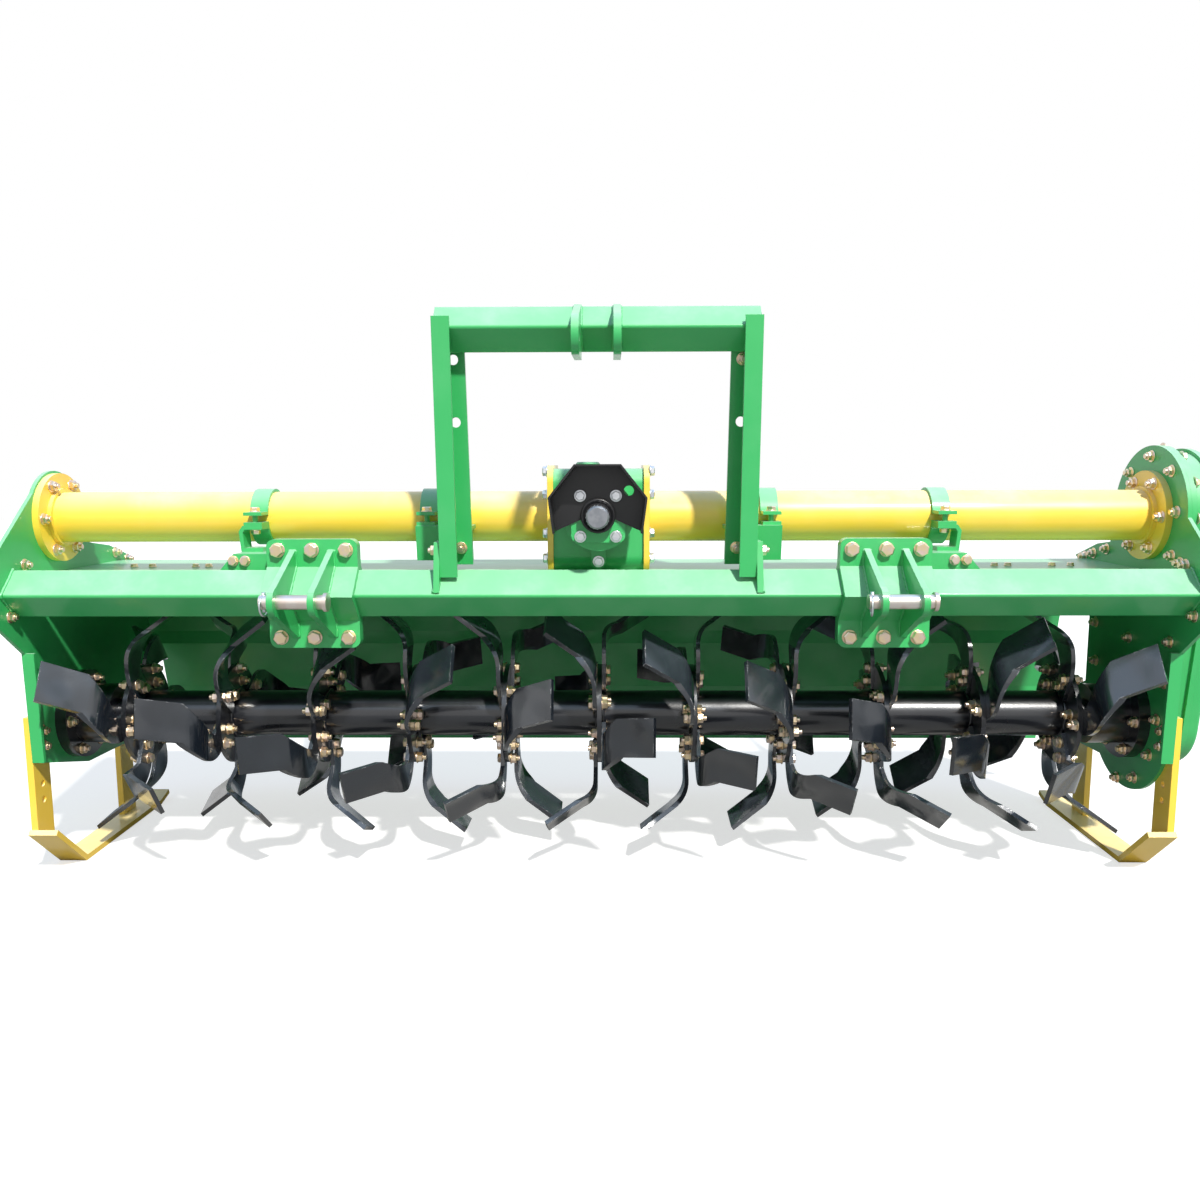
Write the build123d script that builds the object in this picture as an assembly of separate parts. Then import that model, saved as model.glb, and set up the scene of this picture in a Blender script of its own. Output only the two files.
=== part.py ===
"""Rotary tiller for a tractor's three point hitch.

Millimetres. X runs across the machine, Y to the rear and Z up.
Y 0 is the rotor's axis, X 0 the gearbox's middle and Z 0 the floor under the skids.
"""
import math
import os

from build123d import *

# Running and seating clearances
FIT_GAP = 0.05
SEAT_GAP = 0.3
END_PLAY = 1.0

# Rotor shaft
ROTOR_Z = 320.0
ROTOR_TUBE_RADIUS = 50.0
ROTOR_TUBE_WALL = 9.0
DISC_COUNT = 11
DISC_END_GAP = 155.0
DISC_RADIUS = 110.0
DISC_THICKNESS = 10.0
STUB_RADIUS = 32.0
STUB_END_GAP = 2.0

# Blades
BLADE_SWEEP = 258.0
BLADE_THICKNESS = 9.0
BLADE_REACH = 110.0
BLADE_BEND_ANGLE = 54.0
BLADE_BEND_RADIUS = 62.0
BLADE_HALF_WIDTH = 41.0
BLADE_TIP_TRAIL = 16.0
BLADE_TRAIL_START = 204.0
BLADE_ROOT_RADIUS = 56.0
BLADE_SHANK_HALF = 27.0
BLADE_SHANK_TOP = 118.0
BLADE_LEAD = 30.0
BLADE_LEADING_BULGE = (78.0, 168.0)
BLADE_TRAILING_BULGE = (10.0, 160.0)
BLADES_PER_HAND = 3
BLADE_FIRST_ANGLE = -25.0
BLADE_TURN_PER_DISC = 120.0 / 7.0
BLADE_HAND_OFFSET = 60.0
BLADE_QUARTER = 90.0

# Rotor bearings
BEARING_LENGTH = 100.0
BEARING_RADIUS = 98.0
BEARING_NECK_RADIUS = 66.0
BEARING_FLANGE_THICKNESS = 24.0

# End plates
END_INNER_X = 1180.0
END_THICKNESS = 8.0
END_TOP_RADIUS = 100.0
END_LIP = 17.0
END_FRONT_Y = -178.0
END_FRONT_STEP = 8.0
END_FOOT_DROP = 64.0
END_SHOULDER = (84.0, 54.0)
END_NOSE_MARGIN = 14.0
END_NOSE_RISE = 72.0
END_NOSE_DROP = 60.0
END_CHIN_DROP = 128.0
END_KEEL_Y = 28.0
END_KEEL_DROP = 122.0
END_HEEL_DROP = 130.0
END_LEG_MARGIN = 6.0
END_CROWN = ((60.0, 4.0), (-48.0, 40.0), (-128.0, 52.0))
END_REAR_GAP = 14.0
END_REAR_DROP = 60.0
END_REAR_RISE = 40.0
END_TAB_DROP = 24.0
END_DROP_TOP_RADIUS = 148.0
END_DROP_BOTTOM_RADIUS = 168.0
END_DROP_REAR_Y = 204.0
END_DROP_REAR_Z = (350.0, 590.0)

# Side gear case
CASE_TOP_RADIUS = 134.0
CASE_BOTTOM_RADIUS = 108.0
CASE_DEPTH = 92.0
CASE_JOINT_SHARE = 0.55
LEG_POCKET_GAP = 4.0
CASE_RIM = 14.0
CASE_RIM_THICKNESS = 12.0
CASE_FILLET = 10.0

# Axle tubes
TUBE_Y = -30.0
TUBE_Z = 763.0
TUBE_RADIUS = 54.0
TUBE_WALL = 8.0
TUBE_FLANGE_RADIUS = 95.0
TUBE_FLANGE_THICKNESS = 14.0
TUBE_COLLAR = 8.0

# Centre gearbox
GEARBOX_HALF_WIDTH = 93.0
GEARBOX_FLANGE = 12.0
GEARBOX_FRONT_Y = -142.0
GEARBOX_REAR_Y = 84.0
GEARBOX_TOP_Z = 872.0
GEARBOX_CORNER = 34.0
GEARBOX_RIM = 7.0
GEARBOX_CAP_X = -24.0
GEARBOX_CAP_RADIUS = 26.0
GEARBOX_CAP_HEIGHT = 14.0
GEARBOX_FOOT_INSET = 10.0
GEARBOX_FOOT_LENGTH = 120.0
PINION_HOUSING_RADIUS = 72.0
PINION_HOUSING_LENGTH = 50.0
OIL_BOSS_RADIUS = 15.0
OIL_BOSS_LENGTH = 10.0
OIL_BOSS_Z = 676.0

# Input shaft and its guard
INPUT_Z = 773.0
INPUT_FLANGE_HALF = 54.0
INPUT_FLANGE_CORNER = 14.0
INPUT_FLANGE_THICKNESS = 14.0
SEAL_RADIUS = 32.0
SEAL_LENGTH = 18.0
SHAFT_RADIUS = 22.0
SHAFT_LENGTH = 90.0
SHAFT_CHAMFER = 3.0
SHAFT_GROOVE = 6.0
SHAFT_GROOVE_RADIUS = 19.0
JOURNAL_RADIUS = 25.0
SHAFT_SEAT_DEPTH = 40.0
GUARD_THICKNESS = 4.0
GUARD_DEPTH = 64.0
GUARD_TOP_HALF = 45.0
GUARD_TOP_Z = 874.0
GUARD_HALF = 96.0
GUARD_SHOULDER_Z = 810.0
GUARD_FOOT_HALF = 87.0
GUARD_FOOT_Z = 741.0
GUARD_NOTCH_GAP = 1.5
GUARD_NOTCH_DROP = 7.0
GUARD_HOLE = (61.0, 822.0)
GUARD_HOLE_RADIUS = 10.0

# Main beam, a square tube standing on its edge
BEAM_SIDE = 70.0
BEAM_WALL = 6.0
BEAM_CORNER = 6.0
BEAM_Y = -206.0
BEAM_Z = 618.0

# Hood over the rotor
HOOD_SHEET = 5.0
HOOD_TOP_Z = 645.0
HOOD_FRONT_Y = -138.0
HOOD_SHOULDER_Y = 236.0
HOOD_NOTCH_GAP = 6.0
HOOD_LIP = 34.0
HOOD_LIP_GAP = 8.0
HOOD_REAR_BEND = (34.0, 76.0)
HOOD_CORNER = (42.0, 40.0)
HOOD_FRONT_LEAN = 12.0
HOOD_FRONT_RISE = 4.0
HOOD_NOTCH_MARGIN = 20.0

# Tailboard and its hinge
HINGE_Y = 392.0
HINGE_Z = 446.0
HINGE_ROD_RADIUS = 7.0
HINGE_TAB_X = (300.0, 700.0)
HINGE_TAB_END = 52.0
HINGE_TAB_WIDTH = 36.0
HINGE_TAB_SEAT = 40.0
KNUCKLE_WALL = 5.0
KNUCKLE_GAP = 2.0
KNUCKLE_WIDTH = 54.0
STRAP_INSET = 4.0
STRAP_FOOT = 12.0
TAILBOARD_SHEET = 5.0
TAILBOARD_SIDE_GAP = 8.0
TAILBOARD_FOOT_Y = 446.0
TAILBOARD_FOOT_Z = 138.0
TAILBOARD_TOP_GAP = 16.0
TAILBOARD_SET_BACK = 6.0
TAILBOARD_BELLY = 14.0
EDGE_BAR = 12.0

# Tailboard rods
ROD_X = 740.0
ROD_RADIUS = 9.0
ROD_END_LENGTH = 50.0
ROD_EYE_RADIUS = 18.0
ROD_EYE_WIDTH = 16.0
ROD_EYE_PLAY = 3.0
ROD_PIN_RADIUS = 7.0
ROD_PIN_END = 6.0
ROD_PIN_Y = 480.0
ROD_PIN_Z = 320.0
GUIDE_Y = 430.0
GUIDE_Z = 640.0
GUIDE_RADIUS = 20.0
GUIDE_HALF_WIDTH = 22.0
GUIDE_PIN_RADIUS = 9.0
GUIDE_SIDE_GAP = 1.0
ROD_LUG_THICKNESS = 8.0
ROD_LUG_HALF = 40.0
ROD_LUG_GAP = 3.0
SPRING_RADIUS = 20.0
SPRING_WIRE = 4.0
SPRING_LENGTH = 130.0
ROD_TRAVEL = 62.0
COLLAR_RADIUS = 19.0
COLLAR_LENGTH = 10.0

# Mast
MAST_HALF = 312.0
MAST_TOP_Y = -222.0
MAST_TOP_Z = 1131.0
MAST_BEAM_SIDE = 64.0
LEG_SHEET = 8.0
LEG_FRONT_FLANGE = 34.0
LEG_REAR_FLANGE = 52.0
LEG_FOOT_FRONT_Y = -238.0
LEG_FOOT_REAR_Y = -128.0
LEG_FOOT_Z = 669.0
LEG_TOP_RISE = 19.0
LEG_TOP_DEPTH = 72.0
LEG_HOLE_INSET = 29.0
LEG_HOLE_RADIUS = 10.0
LEG_BOLT_Z = 704.0
LEG_HOLE_DROP = (174.0, 54.0)
LUG_THICKNESS = 12.0
LUG_TOP_Z = 722.0
LUG_TOP_HALF = 26.0
LUG_HALF = 48.0
LUG_FOOT_RISE = 6.0
LUG_HOLE_RADIUS = 9.0

# Top link ears
EAR_GAP = 61.0
EAR_THICKNESS = 14.0
EAR_HOLE_Y = -366.0
EAR_HOLE_DROP = 27.0
EAR_HOLE_RADIUS = 13.0
EAR_NOSE_RADIUS = 36.0
EAR_RISE = 47.0
EAR_DROP = 58.0

# Lower hitch brackets
HITCH_X = 570.0
HITCH_PLATE = 12.0
HITCH_PLATE_WIDTH = 182.0
HITCH_FLANGE = 60.0
HITCH_CORNER = 16.0
HITCH_EAR_GAP = 64.0
HITCH_EAR_THICKNESS = 12.0
PIN_Y = -342.0
PIN_RADIUS = 14.0
PIN_LENGTH = 128.0
PIN_HEAD_RADIUS = 18.0
PIN_HEAD_LENGTH = 7.0
PIN_EAR_RADIUS = 28.0
PIN_EAR_NOSE = 20.0
PIN_EAR_RISE = 40.0
PIN_EAR_GAP = 4.0
BRACKET_BOLT_RADIUS = 9.0
BRACKET_BOLT_PITCH = 68.0
BRACKET_BOLT_RISE = 88.0

# Tube clamps
CLAMP_BAND = 6.0
CLAMP_WIDTH = 38.0
CLAMP_EAR = 42.0
CLAMP_EAR_THICKNESS = 7.0
CLAMP_EAR_GAP = 14.0
CLAMP_EAR_START = 2.0
CLAMP_STUD_RADIUS = 6.0
CLAMP_STUD_HALF = 22.0
CLAMP_STUD_REACH = 27.0
CLAMP_INNER_X = 358.0
CLAMP_OUTER_X = 718.0
CLAMP_PLATE = 8.0
BRACKET_FOOT_RISE = 8.0
BRACKET_LEAP = 30.0
BRACKET_CHAMFER = (8.0, 12.0)
BRACKET_TAPER = 4.0
UPRIGHT_Y = 26.0
UPRIGHT_INNER = 30.0
UPRIGHT_OUTER = 26.0
UPRIGHT_SHOULDER = 6.0
UPRIGHT_FOOT = 40.0

# Skids
SKID_INSET = 4.0
SKID_WIDTH = 60.0
SKID_THICKNESS = 12.0
SKID_BEND_Y = -73.0
SKID_TIP_Y = -184.0
SKID_TIP_Z = 100.0
SKID_REAR_Y = 300.0
SKID_HEEL = (50.0, 14.0)
SKID_LEG_SINK = 4.0
SKID_LEG_WIDTH = 60.0
SKID_LEG_THICKNESS = 14.0
SKID_FRONT_LEG_Y = -146.0
SKID_REAR_LEG_Y = 220.0
SKID_LEG_TOP = 352.0
SKID_REAR_LEG_TOP = 292.0
SKID_HOLE_RADIUS = 7.0
SKID_HOLE_DROP = (150.0, 185.0)


def slab_x(sketch, x0, x1):
    """Sketch drawn in Y and Z, made solid from x0 to x1."""
    return extrude(Plane.YZ.offset(x0) * sketch, amount=x1 - x0)


def slab_y(sketch, y0, y1):
    """Sketch drawn in X and Z, made solid from y0 to y1."""
    return extrude(Plane.XZ.offset(-y0) * sketch, amount=y1 - y0, dir=(0, 1, 0))


def slab_z(sketch, z0, z1):
    """Sketch drawn in X and Y, made solid from z0 to z1."""
    return extrude(Plane.XY.offset(z0) * sketch, amount=z1 - z0)


def outline(points):
    """Flat face through the points."""
    return make_face(Polyline(*points, close=True))


def disc_at(u, v, radius):
    """Round face at a place in its sketch plane."""
    return Pos(u, v) * Circle(radius)


def rod_x(y, z, radius, x0, x1):
    """Round bar along X."""
    return slab_x(disc_at(y, z, radius), x0, x1)


def strip(points, thickness):
    """Sheet section: the points are one side, and the sheet lies to the left of their direction."""
    far = offset_path(points, thickness)
    return outline(list(points) + far[::-1])


def offset_path(points, distance):
    """Path parallel to an open path, on its left side, with mitred corners."""
    vectors = [Vector(*p) for p in points]
    runs = [(b - a).normalized() for a, b in zip(vectors, vectors[1:])]
    normals = [Vector(-r.Y, r.X) for r in runs]
    moved = [vectors[0] + normals[0] * distance]
    for index in range(1, len(vectors) - 1):
        middle = (normals[index - 1] + normals[index]).normalized()
        reach = distance / middle.dot(normals[index])
        moved.append(vectors[index] + middle * reach)
    moved.append(vectors[-1] + normals[-1] * distance)
    return [(p.X, p.Y) for p in moved]


def tangent_hull(circle_a, circle_b):
    """Two round ends joined by their outer tangents, each given as u, v and radius."""
    ua, va, ra = circle_a
    ub, vb, rb = circle_b
    gap = math.hypot(ub - ua, vb - va)
    heading = math.atan2(vb - va, ub - ua)
    lean = math.acos((ra - rb) / gap)
    corners = []
    for side in (1, -1):
        angle = heading + side * lean
        pair = [
            (ua + ra * math.cos(angle), va + ra * math.sin(angle)),
            (ub + rb * math.cos(angle), vb + rb * math.sin(angle)),
        ]
        corners.extend(pair if side > 0 else pair[::-1])
    return outline(corners) + disc_at(ua, va, ra) + disc_at(ub, vb, rb)


def mirrored(part):
    """The same piece on the machine's other side."""
    return mirror(part, about=Plane.YZ)


# Main beam

def beam_section(y, z, side, corner):
    """Square section standing on its edge."""
    return Pos(y, z) * Rot(0, 0, 45) * RectangleRounded(side, side, corner)


def beam_tube(y, z, side, half_length):
    """Square tube on edge, open inside."""
    section = beam_section(y, z, side, BEAM_CORNER)
    section -= beam_section(y, z, side - 2 * BEAM_WALL, BEAM_CORNER / 3)
    return slab_x(section, -half_length, half_length)


def beam_solid(y, z, side, half_length):
    """Outside of the square tube, for cutting its seats."""
    return slab_x(beam_section(y, z, side, BEAM_CORNER), -half_length, half_length)


def beam_half_height():
    """Height of the rounded ridge above the beam's middle."""
    return BEAM_SIDE / math.sqrt(2) - BEAM_CORNER * (math.sqrt(2) - 1)


def main_beam():
    """Cross beam at the front."""
    return beam_tube(BEAM_Y, BEAM_Z, BEAM_SIDE, END_INNER_X)


# End plates

END_NOSE_Y = BEAM_Y - BEAM_SIDE / math.sqrt(2) - END_NOSE_MARGIN


def end_front_points():
    """Front edge of a side plate in Y and Z, from the axle tube down to its foot."""
    return [
        (TUBE_Y - END_SHOULDER[0], TUBE_Z + END_SHOULDER[1]),
        (END_NOSE_Y, BEAM_Z + END_NOSE_RISE),
        (END_NOSE_Y, BEAM_Z - END_NOSE_DROP),
        (END_FRONT_Y - END_FRONT_STEP, BEAM_Z - END_CHIN_DROP),
        (END_FRONT_Y, ROTOR_Z - END_FOOT_DROP),
        (END_KEEL_Y, ROTOR_Z - END_KEEL_DROP),
        (end_heel_y(), ROTOR_Z - END_HEEL_DROP),
    ]


def end_heel_y():
    """Rear edge of a side plate below, behind the skid's rear leg."""
    return SKID_REAR_LEG_Y + SKID_LEG_WIDTH / 2 + END_LEG_MARGIN


def end_crown_points():
    """Edge of a side plate along the hood's shoulder and up to the axle tube."""
    crown = [(HOOD_SHOULDER_Y + away, HOOD_TOP_Z + rise) for away, rise in END_CROWN]
    return crown + [(TUBE_Y + END_SHOULDER[0], TUBE_Z - END_SHOULDER[1])]


def end_outline(rear_points):
    """Side plate's outline in Y and Z, closed at the rear by the given points."""
    points = end_front_points() + rear_points + end_crown_points()
    return outline(points) + disc_at(TUBE_Y, TUBE_Z, END_TOP_RADIUS)


def front_lip():
    """Edge of the right side plate, folded inward along its front."""
    path = end_front_points()[3:5]
    return slab_x(strip(path, END_THICKNESS), END_INNER_X - END_LIP, END_INNER_X)


def end_plate_left():
    """Left side plate, which reaches back to the tailboard's hinge, with its folded front edge."""
    rear_y = HINGE_Y - END_REAR_GAP
    face = end_outline([(rear_y, HINGE_Z - END_REAR_DROP), (rear_y, HINGE_Z + END_REAR_RISE)])
    plate = slab_x(face, -END_INNER_X - END_THICKNESS, -END_INNER_X)
    return plate + mirrored(front_lip())


def end_plate_right():
    """Right side plate, cut short at the rear and widened to carry the side gear case."""
    low, high = END_DROP_REAR_Z
    rear = [(end_heel_y(), low - END_TAB_DROP), (END_DROP_REAR_Y, low), (END_DROP_REAR_Y, high)]
    face = end_outline(rear) + drop_outline(END_DROP_TOP_RADIUS, END_DROP_BOTTOM_RADIUS)
    plate = slab_x(face, END_INNER_X, END_INNER_X + END_THICKNESS)
    return plate + front_lip()


# Side gear case

def drop_outline(top_radius, bottom_radius):
    """Drop shape round the axle tube above and the rotor below."""
    return tangent_hull((TUBE_Y, TUBE_Z, top_radius), (0.0, ROTOR_Z, bottom_radius))


def case_outline(rim):
    """Gear case outline, widened by a rim."""
    return drop_outline(CASE_TOP_RADIUS + rim, CASE_BOTTOM_RADIUS + rim)


def side_gear_case():
    """Gear case outside the right side plate, with the rims of its two halves."""
    seat = END_INNER_X + END_THICKNESS
    body = slab_x(case_outline(0.0), seat, seat + CASE_DEPTH)
    body = fillet(body.faces().sort_by(Axis.X)[-1].edges(), CASE_FILLET)
    rim = slab_x(case_outline(CASE_RIM), seat, seat + CASE_RIM_THICKNESS)
    joint_x = seat + CASE_DEPTH * CASE_JOINT_SHARE
    joint = slab_x(case_outline(CASE_RIM / 2), joint_x, joint_x + CASE_RIM_THICKNESS)
    return body + (rim - leg_pocket()) + joint


def leg_pocket():
    """Room in the case's rim for the skid's front leg."""
    x0 = END_INNER_X + END_THICKNESS
    width = SKID_LEG_WIDTH + 2 * LEG_POCKET_GAP
    height = SKID_LEG_TOP + LEG_POCKET_GAP
    face = Pos(SKID_FRONT_LEG_Y, height / 2) * Rectangle(width, height)
    return slab_x(face, x0, x0 + SKID_LEG_THICKNESS)


# Axle tubes

def gearbox_side_outline(grow):
    """Gearbox outline in Y and Z."""
    width = GEARBOX_REAR_Y - GEARBOX_FRONT_Y
    height = GEARBOX_TOP_Z - HOOD_TOP_Z
    middle = Pos((GEARBOX_REAR_Y + GEARBOX_FRONT_Y) / 2, (GEARBOX_TOP_Z + HOOD_TOP_Z) / 2)
    return middle * RectangleRounded(width + 2 * grow, height + (2 * grow if grow < 0 else 0), GEARBOX_CORNER)


def axle_tube_right():
    """Axle tube from the gearbox's flange to the round flange at the end plate."""
    start = GEARBOX_HALF_WIDTH
    stop = END_INNER_X
    tube = rod_x(TUBE_Y, TUBE_Z, TUBE_RADIUS, start, stop)
    flange = rod_x(TUBE_Y, TUBE_Z, TUBE_FLANGE_RADIUS, stop - TUBE_FLANGE_THICKNESS, stop)
    collar_start = stop - TUBE_FLANGE_THICKNESS - TUBE_COLLAR
    collar = rod_x(TUBE_Y, TUBE_Z, TUBE_RADIUS + TUBE_COLLAR, collar_start, stop)
    side = slab_x(gearbox_side_outline(0.0), start, start + GEARBOX_FLANGE)
    hollow = rod_x(TUBE_Y, TUBE_Z, TUBE_RADIUS - TUBE_WALL, start, stop)
    return tube + flange + collar + side - hollow


# Centre gearbox

def centre_gearbox():
    """Cast gearbox with its front pinion housing and the ribbed boss of its oil plug."""
    body = slab_x(gearbox_side_outline(-GEARBOX_RIM), -GEARBOX_HALF_WIDTH, GEARBOX_HALF_WIDTH)
    foot = Pos((GEARBOX_REAR_Y + GEARBOX_FRONT_Y) / 2, HOOD_TOP_Z + GEARBOX_RIM)
    foot *= Rectangle(GEARBOX_FOOT_LENGTH, 2 * GEARBOX_RIM)
    foot_half = GEARBOX_HALF_WIDTH - GEARBOX_FOOT_INSET
    body += slab_x(foot, -foot_half, foot_half)
    front = GEARBOX_FRONT_Y - PINION_HOUSING_LENGTH
    body += slab_y(disc_at(0, INPUT_Z, PINION_HOUSING_RADIUS), front, TUBE_Y)
    boss_front = GEARBOX_FRONT_Y - OIL_BOSS_LENGTH
    rib = Pos(0, (OIL_BOSS_Z + INPUT_Z) / 2) * Rectangle(2 * OIL_BOSS_RADIUS, INPUT_Z - OIL_BOSS_Z)
    body += slab_y(disc_at(0, OIL_BOSS_Z, OIL_BOSS_RADIUS) + rib, boss_front, TUBE_Y)
    bore_end = front + SHAFT_SEAT_DEPTH + END_PLAY
    return body - slab_y(disc_at(0, INPUT_Z, JOURNAL_RADIUS + FIT_GAP), front, bore_end)


def gearbox_cap():
    """Flat filler cap on top of the gearbox."""
    seat = GEARBOX_TOP_Z - GEARBOX_RIM
    cap = slab_z(disc_at(GEARBOX_CAP_X, TUBE_Y, GEARBOX_CAP_RADIUS), seat, seat + GEARBOX_CAP_HEIGHT)
    return chamfer(cap.faces().sort_by(Axis.Z)[-1].edges(), GEARBOX_CAP_HEIGHT / 4)


def input_front():
    """Y of the pinion housing's front face."""
    return GEARBOX_FRONT_Y - PINION_HOUSING_LENGTH


def seal_front():
    """Y of the seal carrier's front face."""
    return input_front() - INPUT_FLANGE_THICKNESS - SEAL_LENGTH


def input_bearing_flange():
    """Square bearing flange with the round seal carrier."""
    seat = input_front()
    square = Pos(0, INPUT_Z) * RectangleRounded(2 * INPUT_FLANGE_HALF, 2 * INPUT_FLANGE_HALF, INPUT_FLANGE_CORNER)
    flange = slab_y(square, seat - INPUT_FLANGE_THICKNESS, seat)
    flange += slab_y(disc_at(0, INPUT_Z, SEAL_RADIUS), seal_front(), seat)
    bore = disc_at(0, INPUT_Z, JOURNAL_RADIUS + FIT_GAP)
    return flange - slab_y(bore, seal_front(), seat)


def input_shaft():
    """Input shaft: its coupling end, a relief groove and the journal in the bearing flange."""
    front = input_front() - INPUT_FLANGE_THICKNESS - SHAFT_LENGTH
    groove = seal_front() - SHAFT_GROOVE
    shaft = slab_y(disc_at(0, INPUT_Z, SHAFT_RADIUS), front, groove)
    shaft = chamfer(shaft.faces().sort_by(Axis.Y)[0].edges(), SHAFT_CHAMFER)
    shaft += slab_y(disc_at(0, INPUT_Z, SHAFT_GROOVE_RADIUS), groove, seal_front())
    journal_end = input_front() + SHAFT_SEAT_DEPTH
    return shaft + slab_y(disc_at(0, INPUT_Z, JOURNAL_RADIUS), seal_front(), journal_end)


def guard_outline():
    """Guard's front outline in X and Z."""
    half = [
        (GUARD_TOP_HALF, GUARD_TOP_Z),
        (GUARD_HALF, GUARD_SHOULDER_Z),
        (GUARD_FOOT_HALF, GUARD_FOOT_Z),
        (SEAL_RADIUS, INPUT_Z - GUARD_NOTCH_DROP),
    ]
    return half + [(-x, z) for x, z in half[::-1]]


def input_guard():
    """Folded guard over the input shaft, open below."""
    back = input_front() - INPUT_FLANGE_THICKNESS
    front = back - GUARD_THICKNESS
    face = outline(guard_outline()) - disc_at(0, INPUT_Z, SEAL_RADIUS + GUARD_NOTCH_GAP)
    face -= disc_at(*GUARD_HOLE, GUARD_HOLE_RADIUS)
    roof = Pos(0, GUARD_TOP_Z - GUARD_THICKNESS / 2) * Rectangle(2 * GUARD_TOP_HALF, GUARD_THICKNESS)
    wall_front = front - GUARD_DEPTH
    guard = slab_y(face, front, back)
    walls = slab_y(guard_wall(1), wall_front, back) + slab_y(guard_wall(-1), wall_front, back)
    return guard + walls + slab_y(roof, wall_front, back)


def guard_wall(side):
    """One folded side of the guard, from its foot to its roof."""
    line = [
        (side * GUARD_FOOT_HALF, GUARD_FOOT_Z),
        (side * GUARD_HALF, GUARD_SHOULDER_Z),
        (side * GUARD_TOP_HALF, GUARD_TOP_Z),
    ]
    return strip(line, side * GUARD_THICKNESS)


# Hood

def hood_path():
    """Hood's upper side in Y and Z, from the lip before the tailboard's hinge to the beam."""
    lip_y = HINGE_Y - HINGE_ROD_RADIUS - HOOD_LIP_GAP
    return [
        (lip_y, HINGE_Z - HOOD_LIP),
        (lip_y, HINGE_Z),
        (HINGE_Y - HOOD_REAR_BEND[0], HINGE_Z + HOOD_REAR_BEND[1]),
        (HOOD_SHOULDER_Y + HOOD_CORNER[0], HOOD_TOP_Z - HOOD_CORNER[1]),
        (HOOD_SHOULDER_Y, HOOD_TOP_Z),
        (HOOD_FRONT_Y, HOOD_TOP_Z),
        (HOOD_FRONT_Y - HOOD_FRONT_LEAN, BEAM_Z + HOOD_FRONT_RISE),
    ]


def hood():
    """Bent sheet over the rotor, notched for the hitch brackets' rear plates."""
    sheet = slab_x(strip(hood_path(), HOOD_SHEET), -END_INNER_X, END_INNER_X)
    width = HITCH_PLATE_WIDTH + 2 * HOOD_NOTCH_GAP
    for side in (-1, 1):
        depth = 2 * (HOOD_FRONT_Y - BEAM_Y + HOOD_FRONT_RISE)
        notch = Pos(side * HITCH_X, BEAM_Y) * Rectangle(width, depth)
        sheet -= slab_z(notch, BEAM_Z - HOOD_NOTCH_MARGIN, HOOD_TOP_Z + HOOD_NOTCH_MARGIN)
    return sheet


# Tailboard

def tailboard_half():
    """Half the tailboard's width, just inside the side plates."""
    return END_INNER_X - TAILBOARD_SIDE_GAP


def hinge_tab_places():
    """X of each hinge tab, from the left to the right."""
    right = [*HINGE_TAB_X, tailboard_half() - HINGE_TAB_END]
    return [-x for x in reversed(right)] + right


def hinge_rod():
    """Long hinge rod with the tabs that hold it under the hood's rear edge."""
    half = tailboard_half()
    rod = rod_x(HINGE_Y, HINGE_Z, HINGE_ROD_RADIUS, -half, half)
    edge, bend = [Vector(*point) for point in hood_path()[1:3]]
    seat = edge + (bend - edge).normalized() * HINGE_TAB_SEAT
    for x in hinge_tab_places():
        tab = outline([
            (edge.X, edge.Y),
            (HINGE_Y, HINGE_Z - HINGE_ROD_RADIUS),
            (HINGE_Y + HINGE_ROD_RADIUS, HINGE_Z),
            (seat.X, seat.Y),
        ])
        rod += slab_x(tab, x - HINGE_TAB_WIDTH / 2, x + HINGE_TAB_WIDTH / 2)
    return rod


def tailboard_path():
    """Tailboard's front side in Y and Z, from its top to its foot."""
    top = (HINGE_Y + TAILBOARD_SET_BACK, HINGE_Z - TAILBOARD_TOP_GAP)
    foot = (TAILBOARD_FOOT_Y, TAILBOARD_FOOT_Z)
    middle = ((top[0] + foot[0]) / 2 + TAILBOARD_BELLY, (top[1] + foot[1]) / 2)
    return [top, middle, foot]


def tailboard():
    """Hinged rear sheet with its knuckles, its edge bar and the rods' lugs."""
    path = tailboard_path()
    half = tailboard_half()
    board = slab_x(strip(path, TAILBOARD_SHEET), -half, half)
    bar = Pos(path[-1][0] + EDGE_BAR / 2, path[-1][1] + EDGE_BAR / 2) * Rectangle(EDGE_BAR, EDGE_BAR)
    board += slab_x(bar, -half, half)
    outer = HINGE_ROD_RADIUS + KNUCKLE_WALL
    strap = outline([
        (HINGE_Y + HINGE_ROD_RADIUS - STRAP_INSET, HINGE_Z - STRAP_INSET),
        (HINGE_Y + outer, HINGE_Z),
        (path[0][0] + TAILBOARD_SHEET, path[0][1] - STRAP_FOOT),
        (path[0][0], path[0][1]),
    ])
    bore = disc_at(HINGE_Y, HINGE_Z, HINGE_ROD_RADIUS + FIT_GAP)
    knuckle = disc_at(HINGE_Y, HINGE_Z, outer) + strap - bore
    for x0, x1 in knuckle_spans():
        board += slab_x(knuckle, x0, x1)
    return board + tailboard_lugs()


def knuckle_spans():
    """X spans of the tailboard's knuckles, one beside each tab."""
    spans = []
    for x in hinge_tab_places():
        inward = -1 if x > 0 else 1
        start = x + inward * (HINGE_TAB_WIDTH / 2 + KNUCKLE_GAP)
        stop = start + inward * KNUCKLE_WIDTH
        spans.append((min(start, stop), max(start, stop)))
    return spans


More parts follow.
